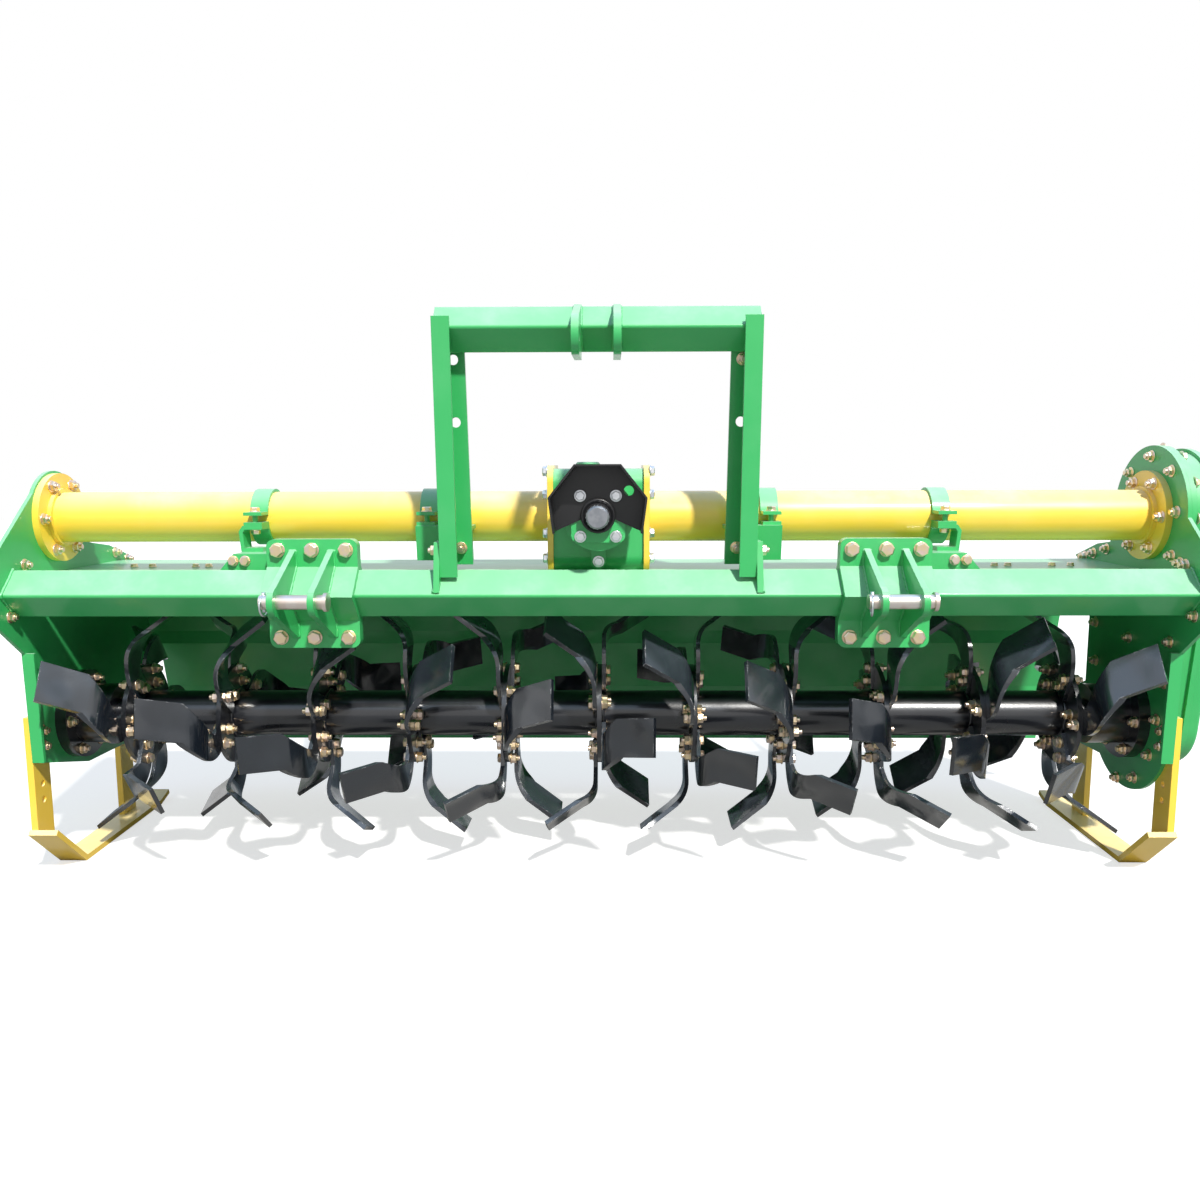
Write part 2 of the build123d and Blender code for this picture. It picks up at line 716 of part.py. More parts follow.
def tailboard_lugs():
    """Pairs of lugs on the tailboard's back that hold the rods' pins."""
    top, middle, foot = offset_path(tailboard_path(), TAILBOARD_SHEET)
    slope = (middle[0] - top[0]) / (middle[1] - top[1])
    high = ROD_PIN_Z + ROD_LUG_HALF
    lug = outline([
        (top[0] + (high - top[1]) * slope, high),
        (ROD_PIN_Y, ROD_PIN_Z + ROD_EYE_RADIUS),
        (ROD_PIN_Y, ROD_PIN_Z - ROD_EYE_RADIUS),
        middle,
    ])
    lug += disc_at(ROD_PIN_Y, ROD_PIN_Z, ROD_EYE_RADIUS)
    lug -= disc_at(ROD_PIN_Y, ROD_PIN_Z, ROD_PIN_RADIUS)
    parts = None
    near = ROD_EYE_WIDTH / 2 + ROD_LUG_GAP
    for side in (-1, 1):
        for face in (-1, 1):
            a = side * ROD_X + face * near
            b = side * ROD_X + face * (near + ROD_LUG_THICKNESS)
            piece = slab_x(lug, min(a, b), max(a, b))
            parts = piece if parts is None else parts + piece
    return parts


# Rods that hold the tailboard

def rod_frame(x):
    """Place on the rod's pin with its local Z pointing up the rod."""
    lean = math.degrees(math.atan2(GUIDE_Y - ROD_PIN_Y, GUIDE_Z - ROD_PIN_Z))
    return Pos(x, ROD_PIN_Y, ROD_PIN_Z) * Rot(-lean, 0, 0)


def rod_span():
    """Distance from the rod's pin to its guide."""
    return math.hypot(GUIDE_Y - ROD_PIN_Y, GUIDE_Z - ROD_PIN_Z)


def tail_rods():
    """Two rods with an eye below, a collar under the spring and a stop nut above the guide."""
    parts = []
    guide_top = rod_span() + GUIDE_RADIUS + SEAT_GAP
    length = guide_top + ROD_END_LENGTH
    for side in (-1, 1):
        bar = Pos(0, 0, length / 2) * Cylinder(ROD_RADIUS, length)
        eye = Rot(0, 90, 0) * Cylinder(ROD_EYE_RADIUS, ROD_EYE_WIDTH)
        collar = Pos(0, 0, spring_foot() - COLLAR_LENGTH / 2) * Cylinder(COLLAR_RADIUS, COLLAR_LENGTH)
        hole = Rot(0, 90, 0) * Cylinder(ROD_PIN_RADIUS + ROD_EYE_PLAY, ROD_EYE_WIDTH * 2)
        nut = Pos(0, 0, guide_top + COLLAR_LENGTH / 2) * Cylinder(COLLAR_RADIUS, COLLAR_LENGTH)
        parts.append(rod_frame(side * ROD_X) * (bar + eye + collar + nut - hole))
    return Compound(children=parts)


def spring_foot():
    """Height of the spring's lower end along the rod."""
    return rod_span() - GUIDE_RADIUS - ROD_TRAVEL - SPRING_LENGTH


def tail_springs():
    """Springs on the rods, as closed sleeves of the coils' outer size."""
    parts = []
    for side in (-1, 1):
        middle = spring_foot() + SPRING_LENGTH / 2
        sleeve = Pos(0, 0, middle) * Cylinder(SPRING_RADIUS, SPRING_LENGTH)
        sleeve -= Pos(0, 0, middle) * Cylinder(SPRING_RADIUS - SPRING_WIRE, SPRING_LENGTH)
        parts.append(rod_frame(side * ROD_X) * sleeve)
    return Compound(children=parts)


def tail_rod_pins():
    """Pins through the tailboard's lugs and the rods' eyes."""
    parts = []
    half = ROD_EYE_WIDTH / 2 + ROD_LUG_GAP + ROD_LUG_THICKNESS + ROD_PIN_END
    for side in (-1, 1):
        x = side * ROD_X
        parts.append(rod_x(ROD_PIN_Y, ROD_PIN_Z, ROD_PIN_RADIUS - FIT_GAP, x - half, x + half))
    return Compound(children=parts)


def tail_guides():
    """Swivelling guide blocks with their trunnions, bored for the rods."""
    parts = []
    for side in (-1, 1):
        place = rod_frame(side * ROD_X)
        block = Rot(0, 90, 0) * Cylinder(GUIDE_RADIUS, 2 * GUIDE_HALF_WIDTH)
        trunnion = Rot(0, 90, 0) * Cylinder(GUIDE_PIN_RADIUS, 2 * guide_outer())
        bore = Cylinder(ROD_RADIUS + FIT_GAP, 6 * GUIDE_RADIUS)
        parts.append(place * Pos(0, 0, rod_span()) * (block + trunnion - bore))
    return Compound(children=parts)


def guide_outer():
    """Half length of the guide's trunnions."""
    return GUIDE_HALF_WIDTH + GUIDE_SIDE_GAP + ROD_LUG_THICKNESS + ROD_PIN_END


def guide_brackets():
    """Gusset plates on the hood's rear slope that carry the guides."""
    parts = None
    low, high = hood_path()[2:4]
    lug = outline([
        low,
        high,
        (GUIDE_Y, GUIDE_Z + GUIDE_RADIUS),
        (GUIDE_Y, GUIDE_Z - GUIDE_RADIUS),
    ])
    lug += disc_at(GUIDE_Y, GUIDE_Z, GUIDE_RADIUS)
    lug -= disc_at(GUIDE_Y, GUIDE_Z, GUIDE_PIN_RADIUS + FIT_GAP)
    for side in (-1, 1):
        for face in (-1, 1):
            a = side * ROD_X + face * (GUIDE_HALF_WIDTH + GUIDE_SIDE_GAP)
            b = a + face * ROD_LUG_THICKNESS
            piece = slab_x(lug, min(a, b), max(a, b))
            parts = piece if parts is None else parts + piece
    return parts


# Rotor

def disc_places():
    """X of each blade disc."""
    first = DISC_END_GAP - END_INNER_X
    pitch = -2 * first / (DISC_COUNT - 1)
    return [first + pitch * index for index in range(DISC_COUNT)]


def rotor_shaft():
    """Rotor tube with its discs and the stubs in the bearings."""
    first, last = disc_places()[0], disc_places()[-1]
    tube = rod_x(0, ROTOR_Z, ROTOR_TUBE_RADIUS, first, last)
    tube -= rod_x(0, ROTOR_Z, ROTOR_TUBE_RADIUS - ROTOR_TUBE_WALL, first, last)
    stub_end = END_INNER_X - STUB_END_GAP
    for x in disc_places():
        half = DISC_THICKNESS / 2
        disc = disc_at(0, ROTOR_Z, DISC_RADIUS)
        if first < x < last:
            disc -= disc_at(0, ROTOR_Z, ROTOR_TUBE_RADIUS - ROTOR_TUBE_WALL)
        tube += slab_x(disc, x - half, x + half)
    tube += rod_x(0, ROTOR_Z, STUB_RADIUS, -stub_end, first)
    return tube + rod_x(0, ROTOR_Z, STUB_RADIUS, last, stub_end)


def blade_section():
    """Blade across the rotor: flat shank, round bend and leaning tip, in X and radius."""
    near = DISC_THICKNESS / 2 + FIT_GAP
    far = near + BLADE_THICKNESS
    lean = math.radians(BLADE_BEND_ANGLE)
    along = Vector(math.sin(lean), math.cos(lean))
    inner_radius = BLADE_BEND_RADIUS - BLADE_THICKNESS
    tip_length = (BLADE_REACH - near - BLADE_BEND_RADIUS * (1 - math.cos(lean))) / along.X
    bend_start = BLADE_SWEEP - BLADE_BEND_RADIUS * along.X - tip_length * along.Y
    outside = JernArc((near, bend_start), (0, 1), BLADE_BEND_RADIUS, -BLADE_BEND_ANGLE)
    inside = JernArc((far, bend_start), (0, 1), inner_radius, -BLADE_BEND_ANGLE)
    outer_end = outside @ 1 + along * tip_length
    inner_end = inside @ 1 + along * tip_length
    tip = Polyline(outside @ 1, outer_end, inner_end, inside @ 1)
    shank = Polyline((far, bend_start), (far, 0), (near, 0), (near, bend_start))
    return make_face(outside + tip + inside + shank)


def blade_side():
    """Blade seen along the rotor: hooked neck between shank and tip, leading side positive."""
    lead = math.radians(BLADE_LEAD)
    out = Vector(math.sin(lead), math.cos(lead))
    across = Vector(math.cos(lead), -math.sin(lead))

    def on_shank(radius, side):
        """Point on a shank edge."""
        place = out * radius + across * (side * BLADE_SHANK_HALF)
        return (place.X, place.Y)

    tip_top = BLADE_SWEEP + BLADE_THICKNESS
    trail = BLADE_TIP_TRAIL * (tip_top - BLADE_TRAIL_START) / (BLADE_SWEEP - BLADE_TRAIL_START)
    neck_lead = (BLADE_HALF_WIDTH, BLADE_TRAIL_START)
    neck_rear = (-BLADE_HALF_WIDTH, BLADE_TRAIL_START)
    edges = Polyline(
        on_shank(BLADE_SHANK_TOP, -1),
        on_shank(BLADE_ROOT_RADIUS, -1),
        on_shank(BLADE_ROOT_RADIUS, 1),
        on_shank(BLADE_SHANK_TOP, 1),
    )
    edges += ThreePointArc(on_shank(BLADE_SHANK_TOP, 1), BLADE_LEADING_BULGE, neck_lead)
    edges += Polyline(
        neck_lead,
        (BLADE_HALF_WIDTH - trail, tip_top),
        (-BLADE_HALF_WIDTH - trail, tip_top),
        neck_rear,
    )
    edges += ThreePointArc(neck_rear, BLADE_TRAILING_BULGE, on_shank(BLADE_SHANK_TOP, -1))
    return make_face(edges)


def blade():
    """One blade at the disc's right face, its tip pointing up, its leading edge towards -Y."""
    across = slab_y(blade_section(), -BLADE_SWEEP, BLADE_SWEEP)
    side = Plane.YZ * mirror(blade_side(), about=Plane.YZ)
    return across & extrude(side, amount=2 * BLADE_REACH)


def blade_set(side):
    """All blades that point to one side: 1 for right, -1 for left."""
    master = blade() if side > 0 else mirrored(blade())
    parts = []
    for index, x in enumerate(disc_places()):
        phase = BLADE_FIRST_ANGLE + BLADE_TURN_PER_DISC * index
        phase += BLADE_HAND_OFFSET if side > 0 else 0.0
        for turn in range(BLADES_PER_HAND):
            angle = phase + turn * 360.0 / BLADES_PER_HAND
            parts.append(Pos(x, 0, ROTOR_Z) * Rot(BLADE_QUARTER + angle, 0, 0) * master)
    return Compound(children=parts)


def rotor_bearing_right():
    """Bearing housing on the inner side of the end plate."""
    face = END_INNER_X - BEARING_LENGTH
    flange = rod_x(0, ROTOR_Z, BEARING_RADIUS, END_INNER_X - BEARING_FLANGE_THICKNESS, END_INNER_X)
    neck = rod_x(0, ROTOR_Z, BEARING_NECK_RADIUS, face, END_INNER_X)
    housing = flange + neck
    return housing - rod_x(0, ROTOR_Z, STUB_RADIUS + FIT_GAP, face, END_INNER_X)


# Mast

def leg_lines():
    """Front and rear lines of a mast leg in Y and Z, as foot and top points."""
    top_front = MAST_TOP_Y - MAST_BEAM_SIDE / math.sqrt(2) - LEG_SHEET
    top_z = MAST_TOP_Z + LEG_TOP_RISE
    foot_z = BEAM_Z + BEAM_SIDE / 2
    front = [(LEG_FOOT_FRONT_Y, foot_z), (top_front, top_z)]
    rear = [(LEG_FOOT_REAR_Y, foot_z), (top_front + LEG_TOP_DEPTH, top_z)]
    return front, rear


def mast_leg_right():
    """Folded channel leg, open inward, notched for the top beam and the main beam."""
    front, rear = leg_lines()
    web = outline([front[0], front[1], rear[1], rear[0]])
    leg = slab_x(web, MAST_HALF - LEG_SHEET, MAST_HALF)
    front_flange = strip([front[1], front[0]], LEG_SHEET)
    leg += slab_x(front_flange, MAST_HALF - LEG_FRONT_FLANGE, MAST_HALF)
    rear_flange = strip([rear[0], rear[1]], LEG_SHEET)
    leg += slab_x(rear_flange, MAST_HALF - LEG_REAR_FLANGE, MAST_HALF)
    leg -= beam_solid(MAST_TOP_Y, MAST_TOP_Z, MAST_BEAM_SIDE, 2 * MAST_HALF)
    leg -= beam_solid(BEAM_Y, BEAM_Z, BEAM_SIDE, 2 * MAST_HALF)
    floor_cut = Pos(0, LEG_FOOT_Z - BEAM_SIDE) * Rectangle(4 * MAST_HALF, 2 * BEAM_SIDE)
    leg -= slab_y(floor_cut, BEAM_Y + LEG_SHEET, 0.0)
    for z in (LEG_BOLT_Z, *[MAST_TOP_Z - drop for drop in LEG_HOLE_DROP]):
        hole = disc_at(MAST_HALF - LEG_HOLE_INSET, z, LEG_HOLE_RADIUS)
        leg -= slab_y(hole, leg_middle_y(z), 0.0)
    return leg


def leg_middle_y(z):
    """Y halfway between a leg's front and rear flanges at a height."""
    front, rear = leg_lines()
    share = (z - front[0][1]) / (front[1][1] - front[0][1])
    foot = (front[0][0] + rear[0][0]) / 2
    top = (front[1][0] + rear[1][0]) / 2
    return foot + (top - foot) * share


def mast_top_beam():
    """Short cross beam that joins the legs."""
    return beam_tube(MAST_TOP_Y, MAST_TOP_Z, MAST_BEAM_SIDE, MAST_HALF)


def mast_lugs():
    """Plates welded to the main beam outside the legs."""
    face = outline([
        (BEAM_Y - LUG_HALF, BEAM_Z + LUG_FOOT_RISE),
        (BEAM_Y - LUG_TOP_HALF, LUG_TOP_Z),
        (BEAM_Y + LUG_TOP_HALF, LUG_TOP_Z),
        (BEAM_Y + LUG_HALF, BEAM_Z + LUG_FOOT_RISE),
    ])
    face -= beam_section(BEAM_Y, BEAM_Z, BEAM_SIDE, BEAM_CORNER)
    face -= disc_at(BEAM_Y, LEG_BOLT_Z, LUG_HOLE_RADIUS)
    lug = slab_x(face, MAST_HALF, MAST_HALF + LUG_THICKNESS)
    return lug + mirrored(lug)


def top_link_ears():
    """Two ears on the front of the top beam, bored for the top link's pin."""
    hole_z = MAST_TOP_Z - EAR_HOLE_DROP
    face = outline([
        (MAST_TOP_Y, MAST_TOP_Z + EAR_RISE),
        (EAR_HOLE_Y, hole_z + EAR_NOSE_RADIUS),
        (EAR_HOLE_Y, hole_z - EAR_NOSE_RADIUS),
        (MAST_TOP_Y, MAST_TOP_Z - EAR_DROP),
    ])
    face += disc_at(EAR_HOLE_Y, hole_z, EAR_NOSE_RADIUS)
    face -= beam_section(MAST_TOP_Y, MAST_TOP_Z, MAST_BEAM_SIDE, BEAM_CORNER)
    face -= disc_at(EAR_HOLE_Y, hole_z, EAR_HOLE_RADIUS)
    ear = slab_x(face, EAR_GAP / 2, EAR_GAP / 2 + EAR_THICKNESS)
    return ear + mirrored(ear)


# Lower hitch

def clamp_half():
    """Section of the folded plate round the beam's front half, in Y and Z."""
    ridge = BEAM_SIDE / math.sqrt(2)
    reach = ridge + HITCH_FLANGE
    seam = BEAM_Y - SEAT_GAP
    path = [
        (seam, BEAM_Z + reach),
        (seam, BEAM_Z + ridge),
        (seam - ridge, BEAM_Z),
        (seam, BEAM_Z - ridge),
        (seam, BEAM_Z - reach),
    ]
    return strip(path, -HITCH_PLATE)


def bracket_plate():
    """Front clamping plate of a hitch bracket, bored along its two flanges."""
    half = HITCH_PLATE_WIDTH / 2
    plate = slab_x(clamp_half(), -half, half)
    ridge = BEAM_SIDE / math.sqrt(2)
    height = 2 * (ridge + HITCH_FLANGE)
    mask = Pos(0, BEAM_Z) * RectangleRounded(HITCH_PLATE_WIDTH, height, HITCH_CORNER)
    plate = plate & slab_y(mask, BEAM_Y - height, BEAM_Y)
    for step in (-1, 0, 1):
        for rise in (-1, 1):
            hole = disc_at(step * BRACKET_BOLT_PITCH, BEAM_Z + rise * BRACKET_BOLT_RISE, BRACKET_BOLT_RADIUS)
            plate -= slab_y(hole, BEAM_Y - 2 * HITCH_PLATE, BEAM_Y)
    return plate


def hitch_ears():
    """Two ears for the lower link's pin, welded to the front plate."""
    ridge = BEAM_SIDE / math.sqrt(2)
    rise = ridge + PIN_EAR_RISE
    face = outline([
        (BEAM_Y - SEAT_GAP - HITCH_PLATE, BEAM_Z + rise),
        (PIN_Y - PIN_EAR_NOSE, BEAM_Z + PIN_EAR_NOSE),
        (PIN_Y - PIN_EAR_NOSE, BEAM_Z - PIN_EAR_NOSE),
        (BEAM_Y - SEAT_GAP - HITCH_PLATE, BEAM_Z - rise),
        (BEAM_Y, BEAM_Z - rise),
        (BEAM_Y, BEAM_Z + rise),
    ])
    face += disc_at(PIN_Y, BEAM_Z, PIN_EAR_RADIUS)
    face -= beam_section(BEAM_Y, BEAM_Z, BEAM_SIDE + PIN_EAR_GAP, BEAM_CORNER)
    face -= Pos(BEAM_Y, BEAM_Z) * Rectangle(2 * HITCH_PLATE, 4 * rise)
    face -= disc_at(PIN_Y, BEAM_Z, PIN_RADIUS)
    ears = None
    for side in (-1, 1):
        a = side * HITCH_EAR_GAP / 2
        b = a + side * HITCH_EAR_THICKNESS
        ear = slab_x(face, min(a, b), max(a, b))
        ears = ear if ears is None else ears + ear
    return ears


def hitch_bracket():
    """Front plate with its ears."""
    return bracket_plate() + hitch_ears()


def hitch_backplate():
    """Rear clamping plate, the front plate turned round."""
    return Pos(0, BEAM_Y, 0) * mirror(Pos(0, -BEAM_Y, 0) * bracket_plate(), about=Plane.XZ)


def hitch_pin():
    """Lower link pin with its head to the right."""
    half = PIN_LENGTH / 2
    pin = rod_x(PIN_Y, BEAM_Z, PIN_RADIUS - FIT_GAP, -half, half)
    head = rod_x(PIN_Y, BEAM_Z, PIN_HEAD_RADIUS, half - PIN_HEAD_LENGTH, half)
    return pin + head


# Tube clamps

def clamp_ring():
    """Two half bands round the axle tube with bolted ears in front and behind."""
    inner = TUBE_RADIUS + SEAT_GAP
    outer = inner + CLAMP_BAND
    middle = Pos(TUBE_Y, TUBE_Z)
    band = middle * (Circle(outer) - Circle(inner) - Rectangle(4 * outer, CLAMP_EAR_GAP))
    ear_z = (CLAMP_EAR_GAP + CLAMP_EAR_THICKNESS) / 2
    for side in (-1, 1):
        for rise in (-1, 1):
            ear_mid = side * (inner + CLAMP_EAR_START + CLAMP_EAR / 2)
            band += middle * Pos(ear_mid, rise * ear_z) * Rectangle(CLAMP_EAR, CLAMP_EAR_THICKNESS)
    band -= middle * Circle(inner)
    half = CLAMP_WIDTH / 2
    ring = slab_x(band, -half, half)
    for side in (-1, 1):
        stud = disc_at(0, TUBE_Y + side * (inner + CLAMP_STUD_REACH), CLAMP_STUD_RADIUS)
        ring += slab_z(stud, TUBE_Z - CLAMP_STUD_HALF, TUBE_Z + CLAMP_STUD_HALF)
    return ring


def clamp_ear_front():
    """Y where a clamp's front ears leave its band."""
    return TUBE_Y - TUBE_RADIUS - SEAT_GAP - CLAMP_EAR_START


def inner_bracket():
    """Plate that ties an inner clamp to the mast leg's rear flange."""
    front, rear = leg_lines()
    z0 = LEG_FOOT_Z + BRACKET_FOOT_RISE
    z1 = TUBE_Z - CLAMP_EAR_GAP / 2 - CLAMP_EAR_THICKNESS
    slope = (rear[1][0] - rear[0][0]) / (rear[1][1] - rear[0][1])
    y0 = rear[0][0] + slope * (z0 - rear[0][1])
    y1 = rear[0][0] + slope * (z1 - rear[0][1])
    ear_y = clamp_ear_front()
    plate = outline([
        (y0, z0),
        (y0 + CLAMP_PLATE, z0),
        (y1 + CLAMP_PLATE, z1 - CLAMP_PLATE),
        (ear_y, z1 - CLAMP_PLATE),
        (ear_y, z1),
        (y1, z1),
    ])
    near = MAST_HALF - LEG_REAR_FLANGE
    bracket = slab_x(plate, near, CLAMP_INNER_X + CLAMP_WIDTH / 2)
    hole = disc_at(MAST_HALF - LEG_HOLE_INSET, LEG_BOLT_Z, LEG_HOLE_RADIUS)
    return bracket - slab_y(hole, BEAM_Y, TUBE_Y)


def outer_bracket():
    """Channel and upright that tie an outer clamp to the main beam."""
    top = TUBE_Z - CLAMP_EAR_GAP / 2 - CLAMP_EAR_THICKNESS
    far = CLAMP_OUTER_X + BRACKET_LEAP
    near = CLAMP_OUTER_X - CLAMP_WIDTH / 2
    low = BEAM_Z + beam_half_height() + BRACKET_LEAP
    path = [
        (near, top),
        (far - BRACKET_CHAMFER[0], top),
        (far, top - BRACKET_CHAMFER[1]),
        (far - BRACKET_TAPER, low),
        (near, low),
    ]
    ear_y = clamp_ear_front()
    channel = slab_y(strip(path, -CLAMP_PLATE), ear_y - CLAMP_EAR, ear_y)
    front = BEAM_Y + UPRIGHT_Y
    shoulder = far - UPRIGHT_SHOULDER
    upright = outline([
        (near - UPRIGHT_INNER, BEAM_Z),
        (far + UPRIGHT_OUTER, BEAM_Z),
        (far + UPRIGHT_OUTER, BEAM_Z + UPRIGHT_FOOT),
        (shoulder, low),
        (near - UPRIGHT_INNER, low),
    ])
    wall = slab_y(upright, front, front + CLAMP_PLATE)
    shelf = Pos((near - UPRIGHT_INNER + shoulder) / 2, (front + ear_y) / 2)
    shelf *= Rectangle(shoulder - near + UPRIGHT_INNER, ear_y - front)
    body = channel + wall + slab_z(shelf, low - CLAMP_PLATE, low)
    return body - beam_solid(BEAM_Y, BEAM_Z, BEAM_SIDE, END_INNER_X)


def tube_clamp_inner():
    """Right inner clamp with its bracket."""
    return Pos(CLAMP_INNER_X, 0, 0) * clamp_ring() + inner_bracket()


def tube_clamp_outer():
    """Right outer clamp with its bracket."""
    return Pos(CLAMP_OUTER_X, 0, 0) * clamp_ring() + outer_bracket()


# Skids

def skid_runner():
    """Runner's section in Y and Z: flat sole and upturned front."""
    path = [
        (SKID_TIP_Y, SKID_TIP_Z),
        (SKID_BEND_Y, 0.0),
        (SKID_REAR_Y, 0.0),
        (SKID_REAR_Y + SKID_HEEL[0], SKID_HEEL[1]),
    ]
    return strip(path, SKID_THICKNESS)


def skid_right():
    """Skid: bent runner, two upright legs and the holes for its height."""
    middle = END_INNER_X - SKID_INSET
    half = SKID_WIDTH / 2
    skid = slab_x(skid_runner(), middle - half, middle + half)
    seat = END_INNER_X + END_THICKNESS
    far = seat + SKID_LEG_THICKNESS
    slope = SKID_TIP_Z / (SKID_BEND_Y - SKID_TIP_Y)
    leg_half = SKID_LEG_WIDTH / 2
    y0, y1 = SKID_FRONT_LEG_Y - leg_half, SKID_FRONT_LEG_Y + leg_half
    front_leg = outline([
        (y0, (SKID_BEND_Y - y0) * slope + SKID_LEG_SINK),
        (y1, (SKID_BEND_Y - y1) * slope + SKID_LEG_SINK),
        (y1, SKID_LEG_TOP),
        (y0, SKID_LEG_TOP),
    ])
    rear_leg = Pos(SKID_REAR_LEG_Y, (SKID_REAR_LEG_TOP + SKID_LEG_SINK) / 2)
    rear_leg *= Rectangle(SKID_LEG_WIDTH, SKID_REAR_LEG_TOP - SKID_LEG_SINK)
    legs = slab_x(front_leg, seat, far) + slab_x(rear_leg, seat, far)
    for drop in SKID_HOLE_DROP:
        legs -= slab_x(disc_at(SKID_FRONT_LEG_Y, SKID_LEG_TOP - drop, SKID_HOLE_RADIUS), seat, far)
    return skid + legs


def both_sides(name, part):
    """Left and right copies of a piece made for the right side."""
    return {name + "_right": part, name + "_left": mirrored(part)}


def build_nodes():
    """Every sub-part by its node name."""
    nodes = {
        "main_beam": main_beam(),
        "end_plate_left": end_plate_left(),
        "end_plate_right": end_plate_right(),
        "side_gear_case": side_gear_case(),
        "centre_gearbox": centre_gearbox(),
        "gearbox_cap": gearbox_cap(),
        "input_bearing_flange": input_bearing_flange(),
        "input_shaft": input_shaft(),
        "input_guard": input_guard(),
        "hood": hood(),
        "hinge_rod": hinge_rod(),
        "tailboard": tailboard(),
        "tail_rods": tail_rods(),
        "tail_springs": tail_springs(),
        "tail_rod_pins": tail_rod_pins(),
        "tail_guides": tail_guides(),
        "guide_brackets": guide_brackets(),
        "rotor_shaft": rotor_shaft(),
        "blades_right_hand": blade_set(1),
        "blades_left_hand": blade_set(-1),
        "mast_top_beam": mast_top_beam(),
        "mast_lugs": mast_lugs(),
        "top_link_ears": top_link_ears(),
    }
    nodes.update(both_sides("axle_tube", axle_tube_right()))
    nodes.update(both_sides("rotor_bearing", rotor_bearing_right()))
    nodes.update(both_sides("mast_leg", mast_leg_right()))
    nodes.update(both_sides("tube_clamp_inner", tube_clamp_inner()))
    nodes.update(both_sides("tube_clamp_outer", tube_clamp_outer()))
    nodes.update(both_sides("skid", skid_right()))
    for name, side in (("right", 1), ("left", -1)):
        place = Pos(side * HITCH_X, 0, 0)
        nodes["hitch_bracket_" + name] = place * hitch_bracket()
        nodes["hitch_backplate_" + name] = place * hitch_backplate()
        nodes["hitch_pin_" + name] = place * hitch_pin()
    return nodes


def centring_shift(nodes):
    """Move that puts the origin on the floor under the middle of the whole machine's box."""
    boxes = [part.bounding_box() for part in nodes.values()]
    middle_x = (min(box.min.X for box in boxes) + max(box.max.X for box in boxes)) / 2
    middle_y = (min(box.min.Y for box in boxes) + max(box.max.Y for box in boxes)) / 2
    floor_z = min(box.min.Z for box in boxes)
    return Pos(-middle_x, -middle_y, -floor_z)


def main():
    """Write each node to its STEP file, placed in the machine's own frame."""
    os.makedirs("parts", exist_ok=True)
    nodes = build_nodes()
    shift = centring_shift(nodes)
    for name, part in nodes.items():
        export_step(shift * part, f"parts/{name}.step")


main()
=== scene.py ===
"""Looks of the rotary tiller: finishes, fasteners, welds and the studio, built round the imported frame."""

import logging
import math
import random
from dataclasses import dataclass, field
from enum import Enum
from typing import Sequence

import bpy
from mathutils import Matrix, Vector

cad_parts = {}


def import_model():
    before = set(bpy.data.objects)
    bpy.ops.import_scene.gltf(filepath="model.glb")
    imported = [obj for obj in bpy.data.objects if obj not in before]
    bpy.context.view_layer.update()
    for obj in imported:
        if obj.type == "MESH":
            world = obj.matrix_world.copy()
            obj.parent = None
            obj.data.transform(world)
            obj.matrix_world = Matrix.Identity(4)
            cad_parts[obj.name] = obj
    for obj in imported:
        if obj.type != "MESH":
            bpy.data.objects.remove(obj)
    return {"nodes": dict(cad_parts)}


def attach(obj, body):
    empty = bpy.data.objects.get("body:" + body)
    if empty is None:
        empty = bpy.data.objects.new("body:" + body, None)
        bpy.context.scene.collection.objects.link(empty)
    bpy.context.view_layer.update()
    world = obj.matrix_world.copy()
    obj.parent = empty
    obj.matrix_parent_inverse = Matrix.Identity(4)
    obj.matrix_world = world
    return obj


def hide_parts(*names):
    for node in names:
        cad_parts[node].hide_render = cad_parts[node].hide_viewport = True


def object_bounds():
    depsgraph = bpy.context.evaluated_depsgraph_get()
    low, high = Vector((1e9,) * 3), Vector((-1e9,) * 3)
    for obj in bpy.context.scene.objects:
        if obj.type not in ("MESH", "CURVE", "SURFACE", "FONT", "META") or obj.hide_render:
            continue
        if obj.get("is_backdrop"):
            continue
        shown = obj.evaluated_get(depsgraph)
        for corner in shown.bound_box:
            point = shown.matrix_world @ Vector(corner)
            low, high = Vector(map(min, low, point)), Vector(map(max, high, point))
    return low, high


LOG = logging.getLogger("rotary_tiller")

# The machine's own frame in millimetres (rotor axis at Y 0, gearbox middle at X 0) to the row frame.
ROW_SHIFT_MM = (-37.0, -48.0, 0.0)
MM_PER_M = 1000.0
BOTH_SIDES = (-1, 1)

Node = bpy.types.Node
Socket = bpy.types.NodeSocket
Color = tuple[float, float, float]
Place = tuple[float, float, float]
FLOAT, COLOR, VECTOR = "NodeSocketFloat", "NodeSocketColor", "NodeSocketVector"


def row(x: float, y: float, z: float) -> Vector:
    """Machine place in millimetres as a row frame place in metres.

    Args:
        x: Across the machine, from the gearbox's middle.
        y: To the rear, from the rotor's axis.
        z: Up, from the floor.

    Returns:
        The place in the row frame, in metres.
    """
    return Vector(tuple((value + shift) / MM_PER_M for value, shift in zip((x, y, z), ROW_SHIFT_MM)))


def turn_part(step: int, count: int) -> float:
    """Angle after some steps of a full turn.

    Args:
        step: Steps taken.
        count: Steps in a full turn.

    Returns:
        The angle in radians.
    """
    return 2.0 * math.pi * step / count


class Body(Enum):
    """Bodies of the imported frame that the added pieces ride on."""

    FRAME = "frame"
    ROTOR = "rotor"
    SHAFT = "drive_shaft"
    RODS = "rods"


class Slot(Enum):
    """Material slots of the record, passed along with the added pieces."""

    GREEN = "paint_green"
    BLACK = "paint_black"
    STEEL = "steel"


# Shader tools

